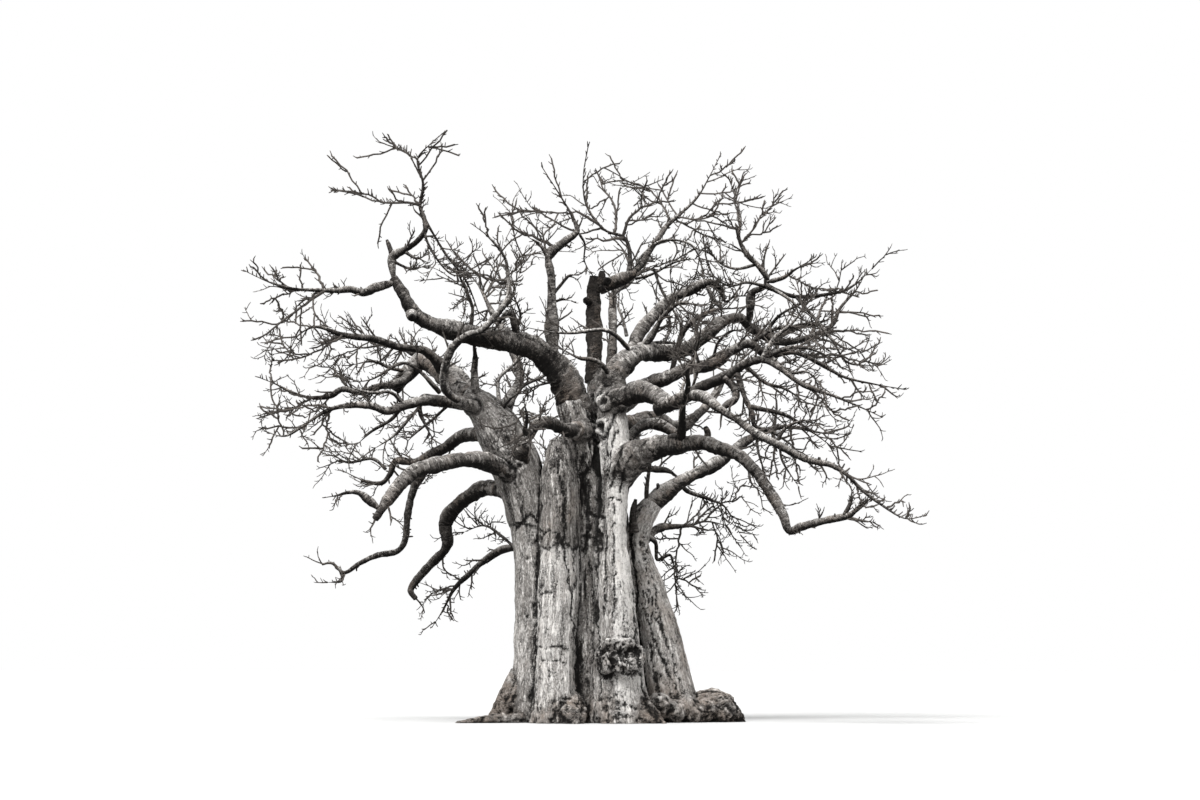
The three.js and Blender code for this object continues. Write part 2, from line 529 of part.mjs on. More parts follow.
function geometryFrom(solid) {
  const mesh = solid.getMesh();
  const corners = new Float32Array(mesh.numVert * 3);
  for (let i = 0; i < mesh.numVert; i++) {
    corners.set(mesh.vertProperties.subarray(i * mesh.numProp, i * mesh.numProp + 3), i * 3);
  }
  return new THREE.BufferGeometry()
    .setAttribute("position", new THREE.BufferAttribute(corners, 3))
    .setIndex(new THREE.BufferAttribute(mesh.triVerts, 1));
}

function perpendicularTo(direction) {
  const other = Math.abs(direction.z) < 0.9 ? UP : new THREE.Vector3(1, 0, 0);
  return new THREE.Vector3().crossVectors(direction, other).normalize();
}

// One frame for each point of a path: where it is, which way it runs, and a side that turns as little as it can.
function framesAlong(points) {
  let side = null;
  return points.map((point, i) => {
    const before = points[Math.max(i - 1, 0)];
    const after = points[Math.min(i + 1, points.length - 1)];
    const along = new THREE.Vector3().subVectors(after, before).normalize();
    side = side === null ? perpendicularTo(along) : side.clone().addScaledVector(along, -side.dot(along)).normalize();
    return { point, along, side, across: new THREE.Vector3().crossVectors(along, side) };
  });
}

// A closed tube through the frames: a cylinder whose rings of corners are moved to them, each with its own radius.
// Where the last radius is nothing it is a cone instead, so that it ends in a point.
function tube(frames, radii, sides) {
  const rings = frames.length - 1;
  const pointed = radii[rings] === 0;
  const form = pointed
    ? new THREE.ConeGeometry(1, 1, sides, rings)
    : new THREE.CylinderGeometry(1, 1, 1, sides, rings);
  const corners = form.attributes.position;
  for (let i = 0; i < corners.count; i++) {
    const ring = Math.round((0.5 + corners.getY(i)) * rings);
    const ownRadius = pointed ? Math.max(1 - ring / rings, 1e-6) : 1;
    const size = radii[ring] / ownRadius;
    const frame = frames[ring];
    const corner = frame.point
      .clone()
      .addScaledVector(frame.side, corners.getX(i) * size)
      .addScaledVector(frame.across, -corners.getZ(i) * size);
    corners.setXYZ(i, corner.x, corner.y, corner.z);
  }
  return solidFrom(form);
}

function joined(solids) {
  return solids.reduce((whole, solid) => whole.add(solid));
}

function curveThrough(points) {
  return new THREE.CatmullRomCurve3(points, false, "catmullrom", 0.5);
}

// Frames and radii of a trunk stem or root, whose route gives a radius at each point.
function sampledStem(route, ringStep) {
  const curve = curveThrough(route.map(place));
  const widths = curveThrough(route.map((p, i) => new THREE.Vector3(i, p[3] * MILLIMETRES, 0)));
  const rings = Math.max(2, Math.round(curve.getLength() / (ringStep * MILLIMETRES)));
  const shares = Array.from({ length: rings + 1 }, (_, i) => curve.getUtoTmapping(i / rings));
  return {
    frames: framesAlong(shares.map((t) => curve.getPoint(t))),
    radii: shares.map((t) => widths.getPoint(t).y),
  };
}

function roundedEnd({ frames, radii }) {
  const last = frames[frames.length - 1];
  const r = radii[radii.length - 1];
  const cap = ROUNDING.map(([rise, width]) => ({
    frame: { ...last, point: last.point.clone().addScaledVector(last.along, r * rise) },
    radius: r * width,
  }));
  return { frames: [...frames, ...cap.map((c) => c.frame)], radii: [...radii, ...cap.map((c) => c.radius)] };
}

function sunk(route) {
  const [across, , depth, radius] = route[0];
  return [[across, -ROOT_SINK, depth, radius * ROOT_SWELL], ...route];
}

const stemShapes = {};
for (const [name, route] of Object.entries(trunkStems)) {
  const shape = sampledStem(sunk(route), STEM_RING_STEP);
  stemShapes[name] = FLAT_TOPPED.includes(name) ? shape : roundedEnd(shape);
}

// Every limb as short capsules, so that a collar or a twig can be measured against what is already there.
const capsules = [];

function addCapsules(owner, frames, radii) {
  for (let i = 0; i + 1 < frames.length; i++) {
    capsules.push({ owner, a: frames[i].point, b: frames[i + 1].point, radius: Math.max(radii[i], radii[i + 1]) });
  }
}

// Shortest distance between two straight stretches, each from a to b.
function distanceBetween(one, two) {
  const d1 = new THREE.Vector3().subVectors(one.b, one.a);
  const d2 = new THREE.Vector3().subVectors(two.b, two.a);
  const r = new THREE.Vector3().subVectors(one.a, two.a);
  const a = d1.dot(d1);
  const e = d2.dot(d2);
  const f = d2.dot(r);
  const c = d1.dot(r);
  const b = d1.dot(d2);
  const denominator = a * e - b * b;
  let s = denominator > 1e-9 ? THREE.MathUtils.clamp((b * f - c * e) / denominator, 0, 1) : 0;
  const t = THREE.MathUtils.clamp((b * s + f) / e, 0, 1);
  s = THREE.MathUtils.clamp((b * t - c) / a, 0, 1);
  const onOne = one.a.clone().addScaledVector(d1, s);
  return onOne.distanceTo(two.a.clone().addScaledVector(d2, t));
}

function roomFor(stretch, isOwn) {
  let least = Infinity;
  for (const capsule of capsules) {
    if (isOwn(capsule.owner)) continue;
    least = Math.min(least, distanceBetween(stretch, capsule) - stretch.radius - capsule.radius);
  }
  return least;
}

// Trunk: the stems, the roots that show, and the burl, grown together and cut off flat at the ground.
const trunkPieces = Object.values(stemShapes).map((shape) => tube(shape.frames, shape.radii, STEM_SIDES));
for (const route of Object.values(surfaceRoots)) {
  const shape = sampledStem(route, ROOT_RING_STEP);
  trunkPieces.push(tube(shape.frames, shape.radii, STOUT_SIDES));
}
const lump = new THREE.SphereGeometry(1, 9, 6);
lump.scale(...burl.half.map((half) => half * MILLIMETRES));
const lumpAt = place(burl.at);
lump.translate(lumpAt.x, lumpAt.y, lumpAt.z);
trunkPieces.push(solidFrom(lump));
for (const shape of Object.values(stemShapes)) addCapsules("trunk", shape.frames, shape.radii);

const solidPieces = { trunk: trunkPieces };
const limbEnds = {}; // the last frame of each limb that another limb carries on from

function sidesFor(rootRadius) {
  return rootRadius >= STOUT ? STOUT_SIDES : SLIM_SIDES;
}

// The whole line of a bough and of the stem of its mass, with a frame and radius for each ring.
function lineOf(bough) {
  const points = bough.route.map(place);
  const end = bough.after === "trunk" ? lastOf(stemShapes[bough.from].frames) : limbEnds[bough.after];
  if (end !== undefined) points.unshift(end.point.clone().addScaledVector(end.along, -1), end.point);
  const stemPoints = bough.mass ? bough.mass.stem.map(place) : [];
  const curve = curveThrough([...points, ...stemPoints]);
  const spans = points.length + stemPoints.length - 1;
  const first = end === undefined ? 0 : 1 / spans;
  const tip = (points.length - 1) / spans;
  const length = curve.getLength() * (tip - first);
  const rings = Math.max(3, Math.round(length / (BOUGH_RING_STEP * MILLIMETRES)));
  const shares = Array.from({ length: rings + 1 }, (_, i) => first + ((tip - first) * i) / rings);
  const stemCount = stemPoints.length * twigRule.stemRings;
  for (let i = 1; i <= stemCount; i++) shares.push(tip + ((1 - tip) * i) / stemCount);
  const frames = framesAlong(shares.map((t) => curve.getPoint(t)));
  if (end !== undefined) frames[0] = end;
  const [rootRadius, tipRadius] = bough.radius.map((r) => r * MILLIMETRES);
  const radii = frames.map((_, i) => {
    if (i <= rings) return THREE.MathUtils.lerp(rootRadius, tipRadius, i / rings);
    return THREE.MathUtils.lerp(tipRadius * STEM_FIT, 0, (i - rings) / stemCount);
  });
  return { frames, radii, rings };
}

function lastOf(list) {
  return list[list.length - 1];
}

// The first ring of a limb, moved on by the gap that it keeps to what carries it.
function withGap(frame) {
  return { ...frame, point: frame.point.clone().addScaledVector(frame.along, GAP) };
}

// How many rings of a bough stay in what carries it, as its collar.
function collarRings(line, carrier) {
  for (let i = 1; i < line.rings; i++) {
    const stretch = {
      a: line.frames[i].point,
      b: line.frames[i].point.clone().addScaledVector(line.frames[i].along, 1),
      radius: line.radii[i],
    };
    const room = roomFor(stretch, (owner) => owner !== carrier);
    if (room > COLLAR_CLEAR * MILLIMETRES) return i;
  }
  throw new Error("a bough never leaves what carries it: " + carrier);
}

const lines = {};
for (const bough of boughs) {
  const line = lineOf(bough);
  const sides = sidesFor(bough.radius[0]);
  const collar = bough.after === undefined ? collarRings(line, bough.on) : 0;
  const start = bough.fused ? line.rings : collar;
  if (start > 0) {
    solidPieces[bough.on].push(tube(line.frames.slice(0, start + 1), line.radii.slice(0, start + 1), sides));
    addCapsules(bough.on, line.frames.slice(0, start + 1), line.radii.slice(0, start + 1));
  }
  const frames = line.frames.slice(start, line.rings + 1);
  const radii = line.radii.slice(start, line.rings + 1);
  if (!bough.fused) {
    solidPieces[bough.name] = [tube([withGap(frames[0]), ...frames.slice(1)], radii, sides)];
    addCapsules(bough.name, frames, radii);
  }
  limbEnds[bough.name] = lastOf(frames);
  lines[bough.name] = line;
}

// A repeatable stream of numbers from 0 to 1.
class Draw {
  constructor(seed) {
    this.state = seed % 4294967296;
    this.next();
    this.next();
  }
  next() {
    this.state = (this.state * 1664525 + 1013904223) % 4294967296;
    return this.state / 4294967296;
  }
  between(low, high) {
    return low + (high - low) * this.next();
  }
}

function seedOf(parentSeed, index) {
  return (parentSeed * 69069 + index * 40503 + 12345) % 4294967296;
}

function pointOn(path, share) {
  const at = share * (path.length - 1);
  const i = Math.min(Math.floor(at), path.length - 2);
  const along = new THREE.Vector3().subVectors(path[i + 1], path[i]).normalize();
  return { point: path[i].clone().lerp(path[i + 1], at - i), along };
}

// How far a point is from a path, and the share of the path where it comes nearest.
function nearestOn(path, point) {
  const segment = new THREE.Line3();
  let best = { distance: Infinity, share: 0 };
  for (let i = 0; i + 1 < path.length; i++) {
    segment.set(path[i], path[i + 1]);
    const t = segment.closestPointToPointParameter(point, true);
    const distance = segment.at(t, new THREE.Vector3()).distanceTo(point);
    if (distance < best.distance) best = { distance, share: (i + t) / (path.length - 1) };
  }
  return best;
}

// How wide a mass is at a share of its stem: narrow at its root, widest past the middle.
function widthAt(share) {
  return Math.sqrt(Math.sin(Math.PI * (0.14 + 0.72 * share)));
}

function twigPath(start, heading, length, steps, lift, draw) {
  const path = [start];
  let direction = heading;
  for (let i = 0; i < steps; i++) {
    const stray = new THREE.Vector3(draw.between(-1, 1), draw.between(-1, 1), draw.between(-1, 1));
    direction = direction.clone().addScaledVector(stray, twigRule.wander).addScaledVector(UP, lift).normalize();
    path.push(lastOf(path).clone().addScaledVector(direction, length / steps));
  }
  return path;
}

function lengthOf(path) {
  return path.slice(1).reduce((sum, point, i) => sum + point.distanceTo(path[i]), 0);
}

// The side twigs of one parent, and theirs. reach is the parent's own measure of how long they may be.
function growSides(mass, parent, level, keep) {
  const rule = twigRule.levels[level];
  if (rule === undefined) return;
  const count = Math.min(rule.most, Math.floor(lengthOf(parent.path) / (rule.every * MILLIMETRES)));
  for (let k = 0; k < count; k++) {
    const seed = seedOf(parent.seed, k);
    const draw = new Draw(seed);
    const share = twigRule.firstAt + (1 - twigRule.firstAt) * ((0.5 + k * twigRule.goldenShare) % 1);
    const { point, along } = pointOn(parent.path, share);
    const turn = parent.turn + k * twigRule.goldenTurn + draw.between(-0.4, 0.4);
    const side = perpendicularTo(along).applyAxisAngle(along, turn);
    const angle = draw.between(...twigRule.leaving);
    const heading = along.clone().multiplyScalar(Math.cos(angle)).addScaledVector(side, Math.sin(angle));
    const length = parent.reach * draw.between(...rule.length) * widthAt(share);
    const radius = parent.radius * (1 - share) * rule.radius;
    const path = twigPath(point, heading, length, rule.steps, mass.lift, draw);
    const twig = { seed, path, reach: length, turn: draw.between(0, 6.28), radius };
    if (!keep(twig)) continue;
    growSides(mass, twig, level + 1, keep);
  }
}

function radiiAlong(twig) {
  return twig.path.map((_, i) => twig.radius * (1 - i / (twig.path.length - 1)));
}

for (const bough of boughs.filter((b) => b.mass)) {
  const { mass } = bough;
  const line = lines[bough.name];
  const frames = line.frames.slice(line.rings);
  const radii = line.radii.slice(line.rings).map((r, i) => (i === 0 ? r * STEM_FIT : r));
  const pieces = [tube([withGap(frames[0]), ...frames.slice(1)], radii, TWIG_SIDES)];
  addCapsules(mass.name, frames, radii);
  const stemPath = frames.map((f) => f.point);
  const keep = (twig) => {
    const twigRadii = radiiAlong(twig);
    const inside = twig.path.every(insideCrown);
    const free = twig.path.slice(1).every((b, i) => {
      const stretch = { a: twig.path[i], b, radius: twigRadii[i] };
      return roomFor(stretch, (owner) => owner === mass.name) > TWIG_CLEAR * MILLIMETRES;
    });
    if (!inside || !free) return false;
    const twigFrames = framesAlong(twig.path);
    pieces.push(tube(twigFrames, twigRadii, TWIG_SIDES));
    addCapsules(mass.name, twigFrames, twigRadii);
    return true;
  };
  const stem = {
    seed: mass.seed,
    path: stemPath,
    reach: mass.spread * MILLIMETRES,
    turn: mass.seed,
    radius: radii[0],
  };
  const arms = (mass.arms ?? []).map((route, i) => {
    const path = route.map(place);
    const { share } = nearestOn(stemPath, path[0]);
    path[0] = pointOn(stemPath, share).point;
    const radius = stem.radius * (1 - share) * twigRule.armRadius;
    return { seed: seedOf(mass.seed, 100 + i), path, reach: stem.reach, turn: i, radius };
  });
  for (const parent of [stem, ...arms.filter(keep)]) growSides(mass, parent, 0, keep);
  solidPieces[mass.name] = pieces;
}

// The ground takes off everything below the flat cut.
const ground = new THREE.BoxGeometry(GROUND.width, GROUND.width, GROUND.depth);
ground.translate(0, 0, -GROUND.depth / 2);
const underground = solidFrom(ground);

const tree = new THREE.Group();
for (const [name, pieces] of Object.entries(solidPieces)) {
  const whole = name === "trunk" ? joined(pieces).subtract(underground) : joined(pieces);
  const boughOrTwig = name.endsWith("_twigs") ? TWIG_BARK : OLD_BARK;
  const finish = name === "trunk" ? BARK : boughOrTwig;
  const mesh = new THREE.Mesh(geometryFrom(whole), new THREE.MeshStandardMaterial(finish));
  mesh.name = name;
  tree.add(mesh);
}

export default tree;
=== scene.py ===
"""A bare baobab: fluted bark on the grown-together trunk, winding boughs, and open masses of leafless twigs."""

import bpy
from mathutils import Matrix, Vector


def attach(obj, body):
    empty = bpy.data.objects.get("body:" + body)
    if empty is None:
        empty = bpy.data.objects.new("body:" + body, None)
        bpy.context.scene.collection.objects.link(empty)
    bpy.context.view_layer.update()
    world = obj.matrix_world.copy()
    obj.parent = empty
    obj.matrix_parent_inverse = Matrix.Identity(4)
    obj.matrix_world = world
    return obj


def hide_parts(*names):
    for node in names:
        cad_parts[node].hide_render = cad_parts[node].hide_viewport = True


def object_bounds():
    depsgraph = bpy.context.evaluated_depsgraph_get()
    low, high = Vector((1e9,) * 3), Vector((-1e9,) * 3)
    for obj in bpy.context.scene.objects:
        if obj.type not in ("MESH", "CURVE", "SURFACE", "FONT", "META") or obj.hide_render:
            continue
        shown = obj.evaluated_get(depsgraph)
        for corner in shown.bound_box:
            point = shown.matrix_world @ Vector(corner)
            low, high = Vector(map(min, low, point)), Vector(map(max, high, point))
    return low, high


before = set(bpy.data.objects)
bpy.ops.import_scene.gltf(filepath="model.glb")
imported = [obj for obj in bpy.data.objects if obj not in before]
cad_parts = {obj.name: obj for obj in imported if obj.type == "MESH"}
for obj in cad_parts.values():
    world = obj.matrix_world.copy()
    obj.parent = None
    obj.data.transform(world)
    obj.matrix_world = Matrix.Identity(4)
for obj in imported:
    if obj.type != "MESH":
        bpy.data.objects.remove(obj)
CAD_BOX = [list(corner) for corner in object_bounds()]

import math

import bpy
import numpy as np
from mathutils import Vector, noise
from mathutils.kdtree import KDTree

bl_info = {
    "name": "Bare baobab",
    "version": (1, 0, 0),
    "blender": (4, 5, 0),
    "location": "View3D > Sidebar > Baobab",
    "description": "Bark, boughs and leafless twigs of an old baobab",
    "category": "Add Mesh",
}

VIEW_DISTANCE = 60.0  # the front elevation is measured from here, in front of the trunk
EYE_HEIGHT = 1.6  # height of the eye that measures it
UP = np.array([0.0, 0.0, 1.0])
ACROSS = np.array([1.0, 0.0, 0.0])

STEM_RING_STEP = 1.4  # the source's ring steps, which its collars and twigs are measured by
BOUGH_RING_STEP = 0.7
STEM_FIT = 0.95  # a mass's stem, against the bough that it meets
ROOT_SINK = 0.4  # how far a trunk stem starts below the ground, and how much wider it is there
ROOT_SWELL = 1.12
COLLAR_CLEAR = 0.04  # the room at which a bough has left what carries it, and the least room round a twig
TWIG_CLEAR = 0.006
ROUNDING = [(0.55, 0.8), (0.85, 0.4)]  # a rounded end's rise and width, against its last ring's radius
FINE_STEP = 0.12  # ring step of a path that bark or shoots follow closely
MOST_CAPSULES = 20000
WORD = 2 ** 32  # seeds and draws are whole numbers below this
FLAT_TOPPED = ["left", "centre", "frontRight", "right", "backRight"]
CROWN = {"left": -10.05, "right": 9.65, "top": 17.0, "foot": 1.5}


def route_of(text):
    """A route's points, from their numbers as text with commas between the points."""
    return [[float(number) for number in point.split()] for point in text.split(",")]


def routes(**texts):
    return {name: route_of(text) for name, text in texts.items()}


# Each trunk stem: its route as across, height, depth and radius, from the ground to its fork or tip.
STEMS = routes(
    core="-.1 0 .2 1.55, -.1 2.5 .2 1.25, -.15 5 .2 1, -.1 7.2 .2 .6",
    left="-1.49 0 -.3 .78, -1.49 2.4 -.3 .66, -1.54 4.7 -.3 .62, -1.83 6.4 -.3 .64, -2.34 7.7 -.3 .66,"
        "-2.8 8.55 -.3 .52, -3.2 9.05 -.3 .38",
    frontLeft="-.97 0 -1.25 .66, -.97 1.8 -1.25 .52, -.89 3.5 -1.2 .57, -.86 5.2 -1.1 .52, -.89 6.7 -.9 .48,"
        "-.91 7.75 -.75 .26",
    centre="-.05 0 -.6 .75, -.05 3.5 -.5 .6, -.1 6.4 -.4 .55, -.3 8.1 -.4 .5, -.47 9 -.4 .47",
    frontRight=".86 0 -1.15 .85, .8 2.1 -1.1 .62, .74 3.5 -1.1 .55, .63 5 -1.05 .43, .69 6.7 -1 .4,"
        ".69 7.8 -.9 .45, .6 9 -.75 .38",
    right="2.23 0 .1 .95, 2.1 1 .1 .8, 1.9 2.4 .1 .62, 1.6 3.8 .1 .47, 1.32 4.8 .1 .38, 1.43 5.6 .1 .34,"
        "1.77 6.15 .2 .3",
    backLeft="-.9 0 1.2 .95, -.85 3 1.15 .8, -.75 6 1.1 .68, -.35 8.1 1.2 .42",
    backRight=".95 0 1.1 .95, .85 3 1.1 .78, .55 5.8 1.1 .55, .9 7.5 1.1 .42, 1.2 8.4 1.2 .3",
)

ROOTS = routes(
    leftFlare="-1.65 1.5 -.35 .45, -2.1 .75 -.4 .42, -2.55 .15 -.45 .3, -2.95 -.1 -.5 .1",
    leftRunner="-1.5 .1 -.7 .2, -2.8 .06 -1.2 .12, -3.7 -.04 -1.3 .07",
    rightMound="2.3 .3 .1 .55, 3 .28 .05 .52, 3.5 .33 0 .58, 3.92 .1 -.05 .41, 4.33 -.08 -.1 .14",
    frontToe="-.6 .5 -1.3 .4, -.5 .1 -1.75 .36, -.45 -.15 -2.1 .18",
    rightToe="1.1 .5 -1.2 .45, 1.6 .15 -1.5 .36, 2 -.12 -1.75 .16",
    backToe="-.9 .6 1.6 .5, -1.3 .15 2.2 .4, -1.6 -.15 2.7 .18",
    backRightToe="1.1 .6 1.5 .5, 1.7 .15 2 .4, 2.2 -.15 2.4 .18",
)

# The burl's middle as [across, height, depth], its half sizes in x, y and z, and how far its bark reaches past them.
BURL = {"at": [0.87, 1.8, -1.62], "half": [0.62, 0.38, 0.5], "reach": [1.35, 2.6, 1.12]}

